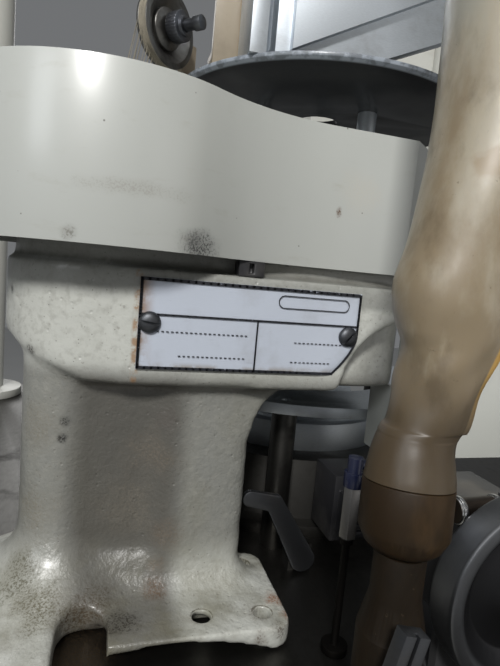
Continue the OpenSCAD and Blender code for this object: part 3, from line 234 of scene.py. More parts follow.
# One look for each slot of the record; pieces that are built here get their own below.
RUST = (0.20, 0.075, 0.025)
BLACK = (0.012, 0.011, 0.010)
looks = {
    "grey_enamel": enamel("grey_enamel", (0.36, 0.37, 0.35), 0.4),
    "cabinet_enamel": enamel("cabinet_enamel", (0.56, 0.56, 0.50), 0.38, dirt=0.2),
    "black_plastic": plastic("black_plastic", (0.018, 0.018, 0.02), 0.42),
    "oily_iron": steel("oily_iron", (0.10, 0.097, 0.09), 0.34, (3, 1, 3), 20, BLACK, 0.8, 0.015),
    "blued_steel": steel("blued_steel", (0.13, 0.135, 0.145), 0.38, stained=0.4),
    "motor_paint": enamel("motor_paint", (0.10, 0.12, 0.14), 0.42),
    "machined_steel": steel("machined_steel", (0.72, 0.77, 0.82), 0.42, (1, 1, 10)),
    "belt_rubber": plastic("belt_rubber", (0.02, 0.02, 0.02), 0.7, 0.03),
    "bronze": steel("bronze", (0.45, 0.30, 0.12), 0.35),
    "needle_steel": steel("needle_steel", (0.62, 0.63, 0.65), 0.22, stained=0.1),
    "cream_enamel": enamel("cream_enamel", (0.45, 0.44, 0.38), 0.34),
    "cover_enamel": enamel("cover_enamel", (0.56, 0.57, 0.53), 0.3, dirt=0.15),
    "plate_metal": Look("plate_metal", (0.50, 0.54, 0.63), 0.35, metal=0.35),
    "black_disc": enamel(
        "black_disc", (0.008, 0.009, 0.011), 0.55, 0.01, (0.03, 0.03, 0.03), 0.3, Specular_IOR_Level=0.25),
    "tan_paint": enamel("tan_paint", (0.30, 0.25, 0.18), 0.45, dirt=0.5),
    "duct_plastic": plastic("duct_plastic", (0.50, 0.48, 0.41), 0.4, dust=0.4),
    "hose_vinyl": plastic("hose_vinyl", (0.42, 0.36, 0.25), 0.35),
    "dark_blue_plastic": plastic("dark_blue_plastic", (0.005, 0.008, 0.028), 0.25, dust=0.08),
    "dark_cast": enamel("dark_cast", (0.04, 0.04, 0.042), 0.5, 0.05),
    "wheel_cast": steel("wheel_cast", (0.27, 0.27, 0.28), 0.42, (1, 1, 1), 12, BLACK, 0.5, 0.02),
    "box_paint": enamel("box_paint", (0.50, 0.50, 0.46), 0.45, 0.05, dirt=0.2),
    "red_plastic": plastic("red_plastic", (0.50, 0.02, 0.015), 0.3, 0.004, 0.1),
    "green_plastic": plastic("green_plastic", (0.02, 0.25, 0.06), 0.3, 0.004, 0.1),
    "creel_paint": enamel("creel_paint", (0.46, 0.46, 0.42), 0.4, dirt=0.25),
}
looks["oily_iron"].stain((-137, -158, 860), 24, (0.11, 0.08, 0.05), 0.95)

# The guide disc's rim is bare steel, dull in patches.
disc = looks["black_disc"]
bare = disc.fade(disc.reach((0, 0, 1122), FROM_Z), 0.0972, 0.0984)
disc.layer(bare, (0.28, 0.31, 0.35), 0.35)
disc.layer(disc.both(bare, disc.fade(disc.noise(160, 5), 0.45, 0.6)), (0.10, 0.11, 0.12), 0.5, amount=0.7)

# Each solid takes its slot's look.
finished = {slot: look.done() for slot, look in looks.items()}
for node, body in nodes.items():
    body.data.materials.clear()
    body.data.materials.append(finished[slots[node]])


# Floor: a plain pale sheet.
bpy.ops.mesh.primitive_plane_add(size=14, location=(0, 0, 0))
floor = bpy.context.object
floor.name = "floor"
ground = Look("pale_floor", (0.60, 0.60, 0.59), 0.7)
ground.layer(ground.noise(3, 2), (0.55, 0.55, 0.54))
floor.data.materials.append(ground.done())


def select(piece):
    bpy.ops.object.select_all(action="DESELECT")
    piece.select_set(True)
    bpy.context.view_layer.objects.active = piece


def apply_all(piece):
    select(piece)
    for modifier in list(piece.modifiers):
        bpy.ops.object.modifier_apply(modifier=modifier.name)
    return piece


def smooth(piece, angle=32):
    select(piece)
    bpy.ops.object.shade_smooth_by_angle(angle=math.radians(angle))
    return piece


def mesh_piece(name, points, faces):
    """A piece from points in millimetres."""
    data = bpy.data.meshes.new(name)
    data.from_pydata([Vector(p)*MM for p in points], [], faces)
    piece = bpy.data.objects.new(name, data)
    bpy.context.collection.objects.link(piece)
    return piece


def quads(across, rows, closed=False):
    """The faces of a grid of points, row by row; closed joins each row's end to its start."""
    stride = across if closed else across + 1
    return [(j*stride + i, j*stride + (i + 1) % stride, (j + 1)*stride + (i + 1) % stride, (j + 1)*stride + i)
            for j in range(rows) for i in range(across)]


def thicken(piece, thickness, offset):
    wall = piece.modifiers.new("wall", "SOLIDIFY")
    wall.thickness, wall.offset = thickness*MM, offset
    return apply_all(piece)


def cut_away(piece, shape, solver):
    """Cuts a bmesh out of a piece."""
    tool = bpy.data.objects.new("tool", bpy.data.meshes.new("tool"))
    shape.to_mesh(tool.data)
    shape.free()
    bpy.context.collection.objects.link(tool)
    cut = piece.modifiers.new("cut", "BOOLEAN")
    cut.operation, cut.object, cut.solver = "DIFFERENCE", tool, solver
    apply_all(piece)
    bpy.data.objects.remove(tool)


def settle(piece, material, slot, body, *replaced):
    """Gives a piece its material and its body, and hides the nodes that it stands for; its slot is not used."""
    piece.data.materials.clear()
    piece.data.materials.append(material)
    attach(piece, body)
    if replaced:
        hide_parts(*replaced)
    return piece


# Points weld within so many metres, faces join within so many degrees, and edges are broken from so many on.
WELD_REACH, FLAT_WITHIN, EDGE_FROM = 2e-6, 0.6, 38


def copy_node(node, name):
    """A clean copy of a node's mesh: welded, its flat faces joined and its stored normals dropped."""
    piece = bpy.data.objects.new(name, nodes[node].data.copy())
    bpy.context.collection.objects.link(piece)
    select(piece)
    if piece.data.has_custom_normals:
        bpy.ops.mesh.customdata_custom_splitnormals_clear()
    shape = bmesh.new()
    shape.from_mesh(piece.data)
    bmesh.ops.remove_doubles(shape, verts=shape.verts, dist=WELD_REACH)
    bmesh.ops.dissolve_limit(shape, angle_limit=math.radians(FLAT_WITHIN), verts=shape.verts, edges=shape.edges)
    bmesh.ops.recalc_face_normals(shape, faces=shape.faces)
    shape.to_mesh(piece.data)
    shape.free()
    for edge in piece.data.edges:
        edge.use_edge_sharp = False
    return piece


def softened(node, width, segments=2, material=None, name=None):
    """A node with its edges broken by a small round, as real edges are."""
    piece = copy_node(node, name or node + "_edges")
    bevel = piece.modifiers.new("bevel", "BEVEL")
    bevel.width, bevel.segments = width*MM, segments
    bevel.limit_method, bevel.angle_limit = "ANGLE", math.radians(EDGE_FROM)
    smooth(apply_all(piece))
    return settle(piece, material or finished[slots[node]], slots[node], home[node], node)


# Looks of single pieces: bright rings on a dark spindle, a hexagon fitting on a black rod, a dark nut, and a wheel
# whose rim is bare and whose inside is darker.
spindle = steel("ringed_steel", (0.07, 0.055, 0.045), 0.35, stain=BLACK)
for x in (-4.7, 12.0):
    ring = spindle.fade(spindle.reach((x, -189.5, 930.5), ALONG_X), 0.0016, 0.001)
    spindle.layer(ring, (0.5, 0.5, 0.5), 0.25)
hexagon = steel("fitting_steel", (0.30, 0.29, 0.28), 0.32, stain=BLACK, stained=0.5)
hexagon.layer(hexagon.fade(hexagon.axis("Z"), 0.910, 0.909), BLACK, 0.6)
dark_nut = steel("dark_nut", (0.13, 0.135, 0.15), 0.36, stain=BLACK, stained=0.7)
dish = steel("dish_steel", (0.20, 0.195, 0.185), 0.34, (1, 1, 1), 20, BLACK, 0.8)
wheel = steel("wheel_iron", (0.17, 0.175, 0.185), 0.36, (1, 1, 1), 14, BLACK, 0.55, 0.02)
inside = wheel.fade(wheel.reach((19.7, 0, 904), FROM_Y), 0.0312, 0.0295)
wheel.layer(inside, (0.045, 0.045, 0.048), 0.42)
special = {
    "ringed_spindle": spindle.done(), "air_fitting": hexagon.done(), "tension_nut": dark_nut.done(),
    "tension_discs": dish.done(), "feed_wheel": wheel.done()}

# Frame, cabinet, bed and drive: the solids with their edges broken.
for node, width in (
        ("base_frame", 2.5), ("left_panel", 0.8), ("right_panel", 0.8), ("front_door", 0.8), ("bed_plate", 1.5),
        ("bed_bolts", 0.8), ("motor_bracket", 1), ("door_latch", 0.8), ("control_box", 1), ("control_post", 1),
        ("creel", 0.8), ("feed_motor", 1.2), ("bracket_plates", 0.6), ("tension_bracket", 0.6), ("tension_nut", 0.4),
        ("hose_bracket", 0.35), ("air_fitting", 0.4), ("ringed_spindle", 0.4), ("side_guard", 0.6), ("set_lever", 0.7),
        ("guide_disc", 0.5), ("sinker_cap", 0.3), ("finger_ring", 0.6), ("cam_box", 0.8), ("selector_blocks", 0.5),
        ("push_in_fitting", 0.5), ("start_button", 0.6), ("cover_clip", 0.5), ("feed_wheel", 0.8),
        ("tension_stud", 0.5), ("tension_discs", 0.4)):
    softened(node, width, material=special.get(node))


# Column casting: the solid is remeshed finely and its corners are blended as a sand casting's are,
# most of all on the column's front; lumps and pits are pressed into the thick paint.
def relax(piece, rounds, group=""):
    """Evens out a piece's points, or those of one group."""
    soften = piece.modifiers.new("soften", "SMOOTH")
    soften.factor, soften.iterations, soften.vertex_group = 0.5, rounds, group
    return apply_all(piece)


def ramp(value, low, high):
    return min(1.0, max(0.0, (value - low)/(high - low)))


VOXEL, EVEN_ROUNDS, BLEND_ROUNDS = 1.5, 8, 45
cast = copy_node("column_casting", "column_cast")
remesh = cast.modifiers.new("remesh", "REMESH")
remesh.mode, remesh.voxel_size = "VOXEL", VOXEL*MM
relax(cast, EVEN_ROUNDS)
blend = cast.vertex_groups.new(name="blend")
for vertex in cast.data.vertices:
    x, y, z = vertex.co/MM
    front = ramp(y, -100, -112)*ramp(z, 871.5, 877)*ramp(y, -166, -160)
    column = ramp(z, 968, 958)*ramp(x, -70, -76)
    head = ramp(z, 1000, 980)*ramp(x, -122, -132)
    weight = front*max(column, head)
    if weight > 0:
        blend.add([vertex.index], weight, "REPLACE")
relax(cast, BLEND_ROUNDS, "blend")

# No lumps on the head's machined top, and low ones on the nameplate's pad.
HEAD_TOP, PAD_FRONT, PAD_LUMPS = 1.0094, -0.1425, 0.12
lumpy = []
for place, out in [(vertex.co.copy(), vertex.normal.copy()) for vertex in cast.data.vertices]:
    bump = noise.fractal(place*48, 1.0, 2.0, 3)*0.3 + noise.noise(place*210)*0.14 + noise.noise(place*420)*0.06
    amount = 0 if place.z > HEAD_TOP else PAD_LUMPS if place.y < PAD_FRONT else 1
    lumpy.extend(place + out*bump*MM*amount)
cast.data.vertices.foreach_set("co", lumpy)
cast.data.update()

# The three bolt holes are bored again, with their counterbores: each a radius, a bottom and a top.
BORE, COUNTERBORE = (3.6, 850, 900), (4.6, 869.3, 900)
bores = bmesh.new()
for x, y in ((-90, -156), (-64.3, -157.4), (-64.4, -122)):
    for radius, low, high in (BORE, COUNTERBORE):
        place = Matrix.Translation(Vector((x, y, (low + high)/2))*MM)
        bmesh.ops.create_cone(bores, cap_ends=True, segments=40, radius1=radius*MM, radius2=radius*MM,
                              depth=(high - low)*MM, matrix=place)
cut_away(cast, bores, "MANIFOLD")
smooth(cast, 50)

# Its paint: painted shade darkens the shank and the hollows, the valley is partly dirty and partly painted shade, a
# painted shadow lies in the gap under the cover, and the foot is spotted.
paint = Look("cast_enamel", (0.50, 0.51, 0.475), 0.32, Coat_Weight=0.4, Coat_Roughness=0.24)
hollow = paint.node("ShaderNodeNewGeometry").outputs["Pointiness"]
paint.layer(paint.noise(14, 4), (0.44, 0.44, 0.40), amount=0.8)
# Painted shade: the shank below the head is darkened where the head's shadow falls.
shaded_shank = paint.both(paint.fade(paint.axis("Z"), 0.972, 0.962), paint.fade(paint.axis("Z"), 0.874, 0.896))
paint.layer(shaded_shank, (0.165, 0.165, 0.15), amount=0.85)
paint.layer(paint.fade(paint.noise(30, 6, (1, 1, 0.5), 2), 0.45, 0.75), (0.20, 0.195, 0.155), 0.5, amount=0.5)
paint.layer(paint.fade(paint.noise(320, 4, shift=1), 0.45, 0.7), (0.27, 0.265, 0.235), amount=0.4)
# Painted shade: concave places, found by pointiness, are darkened.
paint.layer(paint.fade(hollow, 0.497, 0.455), (0.07, 0.06, 0.045), 0.55, amount=0.75)
paint.layer(paint.fade(paint.noise(420, 3, shift=5), 0.64, 0.7), (0.12, 0.105, 0.08), amount=0.35)
paint.layer(paint.fade(paint.cells(330), 0.1, 0.05), (0.03, 0.025, 0.02), 0.6, amount=0.6)
# The valley between the round ridge and the flat is darkened: partly real dirt, partly painted shade.
valley_grime_and_shade = paint.both(paint.fade(paint.axis("X"), -0.153, -0.138), paint.fade(paint.axis("X"), -0.094, -0.106))
valley_grime_and_shade = paint.both(valley_grime_and_shade, paint.fade(paint.axis("Z"), 0.975, 0.955))
paint.layer(valley_grime_and_shade, (0.06, 0.055, 0.046), 0.38, amount=0.8)
# Painted shadow: the band just under the cover is darkened.
paint.layer(paint.fade(paint.axis("Z"), 0.9975, 1.0015), (0.10, 0.10, 0.09), 0.5, amount=0.55)
low_dirt = paint.both(paint.fade(paint.axis("Z"), 0.9, 0.866), paint.fade(paint.noise(50, 7, shift=8), 0.4, 0.7))
paint.layer(low_dirt, (0.13, 0.12, 0.075), 0.5, amount=0.6)
for point, radius, colour, amount in (
        ((-136.4, -148, 871), 15, (0.05, 0.036, 0.02), 1.0), ((-153, -149, 873.8), 12, (0.09, 0.08, 0.045), 0.9),
        ((-162, -137.6, 879.7), 13, (0.08, 0.075, 0.045), 0.85), ((-122, -157, 869.8), 9, (0.02, 0.016, 0.01), 1.0),
        ((-107.8, -139.8, 872.7), 7, (0.09, 0.055, 0.03), 0.8), ((-108.5, -136, 881), 5, (0.13, 0.1, 0.07), 0.6),
        ((-104, -133.5, 893), 9, (0.14, 0.11, 0.08), 0.5), ((-107.2, -134.2, 946), 7, (0.09, 0.08, 0.07), 0.85),
        ((-112, -133, 930), 13, (0.15, 0.125, 0.095), 0.5), ((-121, -131, 905), 16, (0.14, 0.125, 0.1), 0.5),
        ((-163.6, -129.7, 972.9), 3.6, (0.03, 0.025, 0.02), 0.9), ((-148.3, -131.5, 943.9), 3.2, BLACK, 1.0),
        ((-149.5, -131.5, 937), 2.6, BLACK, 1.0), ((-172, -118.8, 995.9), 2.2, BLACK, 0.9),
        ((-56, -150, 870), 6, RUST, 0.9), ((-54, -160, 868), 5, RUST, 0.9),
        ((-60, -166, 868), 5, (0.06, 0.045, 0.03), 0.8), ((-68, -168.5, 866), 4, (0.1, 0.07, 0.05), 0.7),
        ((-160.6, -127.4, 905), 14, (0.17, 0.155, 0.12), 0.6), ((-161, -128, 940), 12, (0.18, 0.165, 0.13), 0.5),
        ((-92, -157, 871), 7, (0.16, 0.14, 0.11), 0.5), ((-66, -158, 871), 7, (0.16, 0.14, 0.11), 0.5)):
    paint.stain(point, radius, colour, amount)
pad_edge = paint.fade(paint.reach((-122.9, -143.5, 986), (1, 1, 0.05)), 0.0022, 0.0009)
rust_edge = paint.both(pad_edge, paint.fade(paint.noise(260, 6), 0.4, 0.56))
paint.layer(rust_edge, (0.26, 0.125, 0.035), 0.6, amount=0.75)
coarse = paint.maths("MAXIMUM", shaded_shank, paint.fade(paint.axis("Z"), 0.9, 0.88))
paint.raise_by(paint.noise(190, 3), 0.38).raise_by(paint.both(paint.noise(560, 3), coarse), 0.36)
paint.raise_by(paint.fade(paint.cells(170, 2), 0.15, 0.02), -0.2)
settle(cast, paint.done(), "cream_enamel", "machine", "column_casting")


# Head cover: sheet metal with a small edge round; smudges, a dark stain at the lower edge and a brown chip.
hood_paint = Look("hood_enamel", (0.42, 0.435, 0.42), 0.4, Coat_Weight=0.6, Coat_Roughness=0.21)
hood_paint.layer(hood_paint.noise(7, 3), (0.42, 0.425, 0.385), amount=0.7)
smudges = hood_paint.fade(hood_paint.noise(55, 6, (1, 1, 3), 2), 0.58, 0.8)
hood_paint.layer(smudges, (0.33, 0.32, 0.28), 0.45, amount=0.5)
hood_paint.layer(hood_paint.fade(hood_paint.cells(95, 4), 0.045, 0.02), (0.06, 0.05, 0.04), amount=0.8)
for point, radius, colour, amount, stretch in (
        ((-101.6, -154.8, 1018.6), 9, (0.04, 0.04, 0.04), 0.9, (0.8, 0.8, 1.3)),
        ((-105.5, -157, 1021), 5, (0.08, 0.08, 0.08), 0.8, EVEN),
        ((-39.1, -136, 1041.1), 1.9, (0.09, 0.035, 0.01), 1.0, (1.3, 1, 0.7)),
        ((-128, -163.8, 1036), 12, (0.28, 0.27, 0.24), 0.5, (0.5, 0.5, 3.4)),
        ((-148, -163, 1019), 3, (0.12, 0.11, 0.09), 0.6, EVEN),
        ((-30, -136, 1050), 12, (0.45, 0.43, 0.37), 0.4, EVEN)):
    hood_paint.stain(point, radius, colour, amount, stretch)
scuffs = hood_paint.fade(hood_paint.noise(900, 2, (0.25, 0.25, 3), 6), 0.72, 0.78)
hood_paint.layer(scuffs, (0.30, 0.29, 0.25), amount=0.4)
hood_paint.raise_by(hood_paint.noise(26, 2), 0.25).raise_by(hood_paint.noise(600, 2), 0.012)
softened("head_cover", 1.3, 3, hood_paint.done(), "hood_shell")


# Nameplate: thin etched sheet whose lower right corner runs in a curve and bends back round the pad.
LEFT, RIGHT, BOTTOM, TOP = -122.5, -27.5, 969.8, 1006.2
PLATE_Y = -144.1


def right_edge(z):
    return RIGHT - 10.5*max(0, (987 - z)/17.2)**1.6


def on_plate(x, z, y=PLATE_Y):
    """A point of the plate; near the lower right corner it leans back."""
    lean = max(0, 1 - (right_edge(z) - x)/7)*max(0, (986 - z)/16)
    return (x, y + 0.9*lean**1.5, z)


columns, rows = 96, 38
grid = []
for j in range(rows + 1):
    z = BOTTOM + (TOP - BOTTOM)*j/rows
    grid += [on_plate(LEFT + (right_edge(z) - LEFT)*i/columns, z) for i in range(columns + 1)]
plate = mesh_piece("etched_plate", grid, quads(columns, rows))
smooth(thicken(plate, 0.5, -1))
etched = Look("etched_aluminium", (0.52, 0.56, 0.64), 0.34, metal=0.12)
etched.layer(etched.noise(300, 3, (1, 1, 12)), (0.46, 0.50, 0.57), 0.42, amount=0.6)
etched.layer(etched.fade(etched.noise(60, 5), 0.5, 0.8), (0.38, 0.40, 0.44), 0.55, amount=0.6)
rusty = etched.both(
    etched.fade(etched.axis("X"), -0.1155, -0.1225), etched.fade(etched.noise(130, 5), 0.32, 0.6))
etched.layer(rusty, (0.22, 0.11, 0.035), 0.6, amount=0.9)
dirty = etched.both(
    etched.fade(etched.axis("Z"), 0.9735, 0.970), etched.fade(etched.noise(150, 5, shift=4), 0.42, 0.62))
etched.layer(dirty, (0.20, 0.15, 0.09), 0.6, amount=0.8)
etched.layer(etched.fade(etched.noise(1400, 2, (0.08, 1, 1.6), 3), 0.7, 0.76), (0.24, 0.25, 0.29), amount=0.5)
etched.raise_by(etched.noise(90, 3), 0.06)
settle(plate, etched.done(), "plate_metal", "machine", "nameplate")


# Print on the plate: a heavy border, two dividers, an empty rounded box and dashed lines, no lettering.
def stroke(path, width):
    """Adds quads along a path of plate points, each a little in front of the sheet."""
    for (x0, z0), (x1, z1) in zip(path, path[1:]):
        along_it = Vector((x1 - x0, z1 - z0))
        side = Vector((-along_it.y, along_it.x)).normalized()*width/2
        tip = along_it.normalized()*width/3
        corners = ((x0 - tip.x - side.x, z0 - tip.y - side.y), (x1 + tip.x - side.x, z1 + tip.y - side.y),
                   (x1 + tip.x + side.x, z1 + tip.y + side.y), (x0 - tip.x + side.x, z0 - tip.y + side.y))
        faces.append(tuple(range(len(points), len(points) + 4)))
        points.extend(on_plate(x, z, PLATE_Y - 0.55) for x, z in corners)


# The border's top, bottom, left and right, then the dividers.
points, faces = [], []
heights = [970.5 + 35*k/28 for k in range(29)]
stroke([(x, 1005.5) for x in range(-122, -27, 3)], 1.3)
stroke([(-121.9 + (right_edge(970.6) + 121.2)*k/30, 970.5) for k in range(31)], 1.2)
stroke([(-121.9, z) for z in heights], 1.1)
stroke([(right_edge(z) - 0.75, z) for z in heights], 1.1)
stroke([(x, 991.8) for x in range(-121, -27, 3)], 0.8)
stroke([(-74, 970.6 + k) for k in range(22)], 0.7)

# The empty box, round at both ends, and the dashed lines: a height, a start and an end each.
ARC, BOX_LEFT, BOX_RIGHT, BOX_Z = 2.6, -63, -36, 1000.4
box = []
for k in range(25):
    a = math.radians(15*k)
    middle = BOX_LEFT if 90 <= math.degrees(a) <= 270 else BOX_RIGHT
    box.append((middle + ARC*math.cos(a), BOX_Z + ARC*math.sin(a)))
stroke(box, 0.4)
PITCH, DASH = 1.9, 0.75
for z, start, end in ((985.2, -117, -76), (975.6, -106, -76), (983.4, -57, -34), (975.0, -58, -38)):
    for k in range(int((end - start)/PITCH)):
        stroke([(start + PITCH*k, z), (start + PITCH*k + DASH, z)], 0.42)
ruled = thicken(mesh_piece("plate_rules", points, faces), 0.05, 1)
ink = Look("black_ink", (0.012, 0.013, 0.018), 0.5)
ink.layer(ink.fade(ink.noise(400, 4), 0.62, 0.7), (0.3, 0.32, 0.38), amount=0.7)
settle(ruled, ink.done(), "plate_metal", "machine")

# Two pan-head screws, each with its slot as it was left: place and slot angle, the head's profile, the slot's size.
SCREWS = ((-118, 988.5, 8), (-32.3, 987.2, -48))
PROFILE = ((1.6, 2.42), (2.9, 2.1), (3.8, 1.5), (4.3, 0.8), (4.35, -0.4))
CROWN, SIDES = 2.5, 56
SLOT = (12, 2.6, 0.95)
screws = bmesh.new()
for x, z, _ in SCREWS:
    foot = PLATE_Y - 0.1
    circles = [
        [screws.verts.new((x + r*math.cos(2*math.pi*k/SIDES), foot - y, z + r*math.sin(2*math.pi*k/SIDES)))
         for k in range(SIDES)] for r, y in PROFILE]
    crown = screws.verts.new((x, foot - CROWN, z))
    for k in range(SIDES):
        screws.faces.new((crown, circles[0][k], circles[0][(k + 1) % SIDES]))
    for one, two in zip(circles, circles[1:]):
        for k in range(SIDES):
            screws.faces.new((one[k], two[k], two[(k + 1) % SIDES], one[(k + 1) % SIDES]))
    screws.faces.new(circles[-1])
bmesh.ops.recalc_face_normals(screws, faces=screws.faces)
bmesh.ops.scale(screws, vec=(MM, MM, MM), verts=screws.verts)
heads = bpy.data.objects.new("plate_screws", bpy.data.meshes.new("plate_screws"))
screws.to_mesh(heads.data)
screws.free()
bpy.context.collection.objects.link(heads)
for x, z, angle in SCREWS:
    slot = bmesh.new()
    turned = Matrix.Rotation(math.radians(angle), 4, "Y") @ Matrix.Diagonal((*(side*MM for side in SLOT), 1))
    bmesh.ops.create_cube(slot, size=1, matrix=Matrix.Translation(Vector((x, PLATE_Y - 2.6, z))*MM) @ turned)
    cut_away(heads, slot, "EXACT")
smooth(heads, 35)
dark_screw = steel("dark_screw", (0.11, 0.115, 0.125), 0.42, stain=BLACK, stained=0.6)
settle(heads, dark_screw.done(), "blued_steel", "machine", "nameplate_screws")


# Suction hose: one soft vinyl tube, bulged in the middle, folded where it narrows, with a moulded seam.
# Each station of its route is a place and the tube's half width and half depth there.
ROUTE = (
    (-38.93, -209.83, 950.1, 14.4, 13.8), (-38.8, -209.6, 952.2, 14.2, 13.5), (-38.6, -209.1, 956, 13.7, 12.8),
    (-38.3, -208.6, 960, 13.0, 12.1), (-37.4, -208.2, 964, 12.5, 11.5), (-36, -208.1, 967, 12.4, 11.5),
    (-34, -208, 969.6, 12.5, 12), (-31.3, -207.5, 982, 13.1, 13), (-28.6, -207.1, 992, 15.6, 14),
    (-28.5, -206.3, 998.5, 17.6, 15.5), (-28.6, -205.3, 1006, 18.9, 17), (-27.8, -204.6, 1013.5, 19.4, 17.5),
    (-24.7, -204, 1024.6, 19.2, 18), (-22.3, -202.9, 1041, 18.9, 18.5), (-20, -201.8, 1055, 18.7, 19),
    (-18, -200.7, 1069, 19, 19.5), (-16.4, -199.1, 1086, 20.1, 20), (-15.3, -197.6, 1105, 20.5, 20.5),
    (-13.8, -196.2, 1130, 20.5, 20.5), (-12.2, -195.3, 1160, 20.5, 20.5), (-11, -195, 1190, 20.5, 20.5),
    (-11, -195, 1230, 21.6, 21.6), (-11, -195, 1258, 21.6, 21.6))
NECK, BELLY, SEAM = (985, 13), (1010, 22), (5.52, 0.06)
TURN_COS, TURN_SIN = 0.98, 0.18


def along(stations, t):
    """Catmull-Rom through the stations; t runs from 0 to the last station."""
    k = min(int(t), len(stations) - 2)
    u = t - k
    p = [stations[max(0, min(len(stations) - 1, k + d))] for d in (-1, 0, 1, 2)]
    return [0.5*(2*b + (c - a)*u + (2*a - 5*b + 4*c - d)*u*u + (3*b - a - 3*c + d)*u**3) for a, b, c, d in zip(*p)]


def bell(value, middle, spread):
    return math.exp(-((value - middle)/spread)**2)


around, rings = 96, 220
points = []
for i in range(rings + 1):
    x, y, z, wide, deep = along(ROUTE, (len(ROUTE) - 1)*i/rings)
    neck, belly = bell(z, *NECK), bell(z, *BELLY)
    tilt = max(0, (970 - z)/20)
    for j in range(around):
        a = 2*math.pi*j/around
        fold = neck*(0.9*math.sin(3*a + z*0.16) + 0.5*math.sin(5*a - z*0.3)) + belly*0.5*math.sin(2*a + z*0.1)
        lump = noise.noise(Vector((math.cos(a)*1.3, math.sin(a)*1.3, z*0.03)))*0.7 if z > 965 else 0
        seam = 0.9*bell(a, *SEAM) if z > 968 else 0
        w, d = wide + fold*0.8 + lump + seam, deep + fold*0.8 + lump + seam
        dx = w*math.cos(a)*TURN_COS + d*math.sin(a)*TURN_SIN
        dy = d*math.sin(a)*TURN_COS - w*math.cos(a)*TURN_SIN
        points.append((x + dx, y + dy, z - tilt*(0.0615*dx + 0.123*dy)))
hose = mesh_piece("vinyl_hose", points, quads(around, rings, True))
layer = hose.data.uv_layers.new(name="UVMap")
for face in hose.data.polygons:
    last = face.vertices[0] % around == around - 1
    for loop, corner in zip(face.loop_indices, face.vertices):
        turn = (corner % around)/around
        layer.data[loop].uv = (1.0 if last and turn == 0 else turn, (corner//around)/rings)
smooth(thicken(hose, 1.6, -1), 80)


def vinyl(name, clear, brown, gloss, coat=0.15, specular=0.5):
    """Aged soft vinyl: cloudy, browner where grease has sat, with dark specks."""
    look = Look(name, clear, gloss, Transmission_Weight=0.3, IOR=1.4, Coat_Weight=coat, Coat_Roughness=0.3,
                Specular_IOR_Level=specular, Subsurface_Weight=0.15, Subsurface_Radius=(0.01, 0.007, 0.004))
    look.layer(look.fade(look.noise(26, 7, (1, 1, 0.5)), 0.43, 0.6), brown, gloss + 0.12, amount=0.85)
    look.layer(look.fade(look.noise(85, 6, (1, 1, 0.5), 3), 0.5, 0.68), tuple(c*0.6 for c in brown), amount=0.6)
    pale = tuple(min(1, c*1.35) for c in clear)
    look.layer(look.fade(look.noise(60, 5, (1, 1, 0.35), 7), 0.56, 0.7), pale, gloss - 0.08, amount=0.6)
    look.layer(look.fade(look.noise(500, 3, shift=2), 0.68, 0.76), (0.07, 0.05, 0.03), amount=0.5)
    look.raise_by(look.noise(45, 3, (1, 1, 0.3)), 0.5).raise_by(look.noise(300, 2), 0.03)
    return look


soft = vinyl("aged_vinyl", (0.45, 0.40, 0.305), (0.27, 0.205, 0.125), 0.36)
soft.layer(soft.fade(soft.axis("Z"), 0.997, 0.962), (0.06, 0.04, 0.02), 0.42, amount=0.92)
cloudy = soft.fade(soft.noise(30, 5, (1, 1, 0.25), 5), 0.35, 0.6)
soft.layer(soft.both(soft.fade(soft.axis("Z"), 1.055, 1.11), cloudy), (0.40, 0.41, 0.37), 0.3, amount=0.75)
band = soft.node("ShaderNodeSeparateXYZ", {0: soft.node("ShaderNodeUVMap", uv_map="UVMap").outputs[0]}).outputs["X"]
stripe = soft.both(soft.fade(band, 0.855, 0.866), soft.fade(band, 0.905, 0.894))
stripe = soft.both(stripe, soft.fade(soft.axis("Z"), 0.966, 0.998))
soft.layer(stripe, (0.62, 0.36, 0.07), 0.4, amount=0.85)
soft.layer(soft.spot((-31, -222, 1050), 9, 1.2, 60), (0.30, 0.20, 0.10), amount=0.6)
settle(hose, soft.done(), "hose_vinyl", "machine", "suction_hose")
amber = vinyl("amber_vinyl", (0.05, 0.029, 0.012), (0.024, 0.014, 0.006), 0.46, 0.03, 0.2)
tail = vinyl("tail_vinyl", (0.026, 0.016, 0.008), (0.012, 0.008, 0.004), 0.5, 0.0, 0.12)
softened("hose_sleeve", 0.5, 2, amber.done())
softened("hose_tail", 0.5, 2, tail.done())


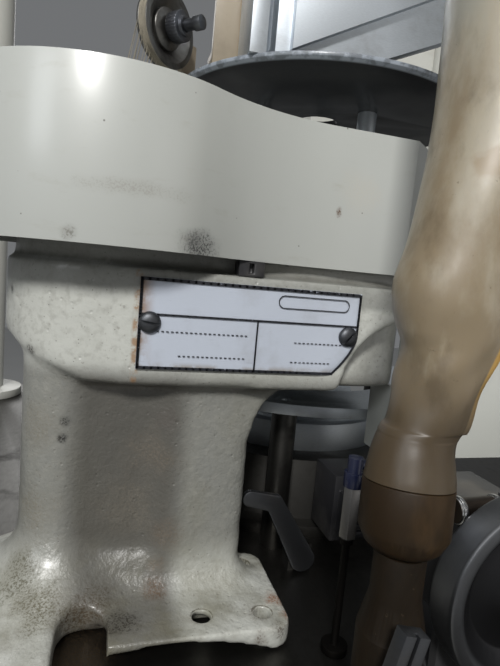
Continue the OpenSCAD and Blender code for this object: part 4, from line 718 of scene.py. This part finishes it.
# Yarn wound round the tension discs' rim, and its loose strands that run down to the cover.
WOUND, LOOSE, HALF_WIDTH = 42, 16, 2.6
centre = Vector((-111.3, -40.9, 1141))
out_of, sideways = Vector((0.6947, -0.7193, 0)), Vector((0.7193, 0.6947, 0))


def about_discs(a, shift, radius):
    """A point round the discs' axis, at an angle and a distance along it."""
    return centre + out_of*shift + (sideways*math.cos(a) + Vector((0, 0, 1))*math.sin(a))*radius


def strands(name, paths, thickness, body, cyclic):
    """A bundle of thin tubes along the paths, as one piece."""
    curve = bpy.data.curves.new(name, "CURVE")
    curve.dimensions = "3D"
    curve.bevel_depth, curve.bevel_resolution = thickness*MM, 1
    for path in paths:
        spline = curve.splines.new("POLY")
        spline.points.add(len(path) - 1)
        for point, place in zip(spline.points, path):
            point.co = (*(place*MM), 1)
        spline.use_cyclic_u = cyclic
    piece = bpy.data.objects.new(name, curve)
    bpy.context.collection.objects.link(piece)
    select(piece)
    bpy.ops.object.convert(target="MESH")
    return settle(bpy.context.object, wool, "tan_paint", body)


yarn = Look("grey_yarn", (0.30, 0.27, 0.21), 0.85)
yarn.layer(yarn.noise(260, 3), (0.17, 0.15, 0.115))
wool = yarn.done()
turns = []
for k in range(WOUND):
    shift = -HALF_WIDTH + 2*HALF_WIDTH*k/(WOUND - 1)
    radius = 20.15 + random.uniform(-0.25, 0.25)
    tilt, phase = random.uniform(-0.5, 0.5), random.uniform(0, 6.28)
    radius -= 0.8*max(0, 1 - abs(shift)/HALF_WIDTH)
    turns.append([about_discs(a, shift + tilt*math.sin(a + phase), radius)
                  for a in [2*math.pi*i/60 for i in range(60)]])
strands("wound_yarn", turns, 0.16, "tension_discs", True)
loose = []
for k in range(LOOSE):
    a = math.radians(188 + 4.2*k)
    start = about_discs(a, random.uniform(-2.5, 0.5), 20.6)
    end = Vector((-139 + 0.7*k + random.uniform(-1, 1), -46 + random.uniform(-3, 3), 1077.2))
    path = []
    for s in [i/14 for i in range(15)]:
        sag = -6*s*(1 - s) + 0.5*noise.noise(Vector((k, s*4, 0)))
        path.append(start.lerp(end, s) + Vector((0, 0, sag)))
    loose.append(path)
strands("loose_yarn", loose, 0.14, "machine", False)
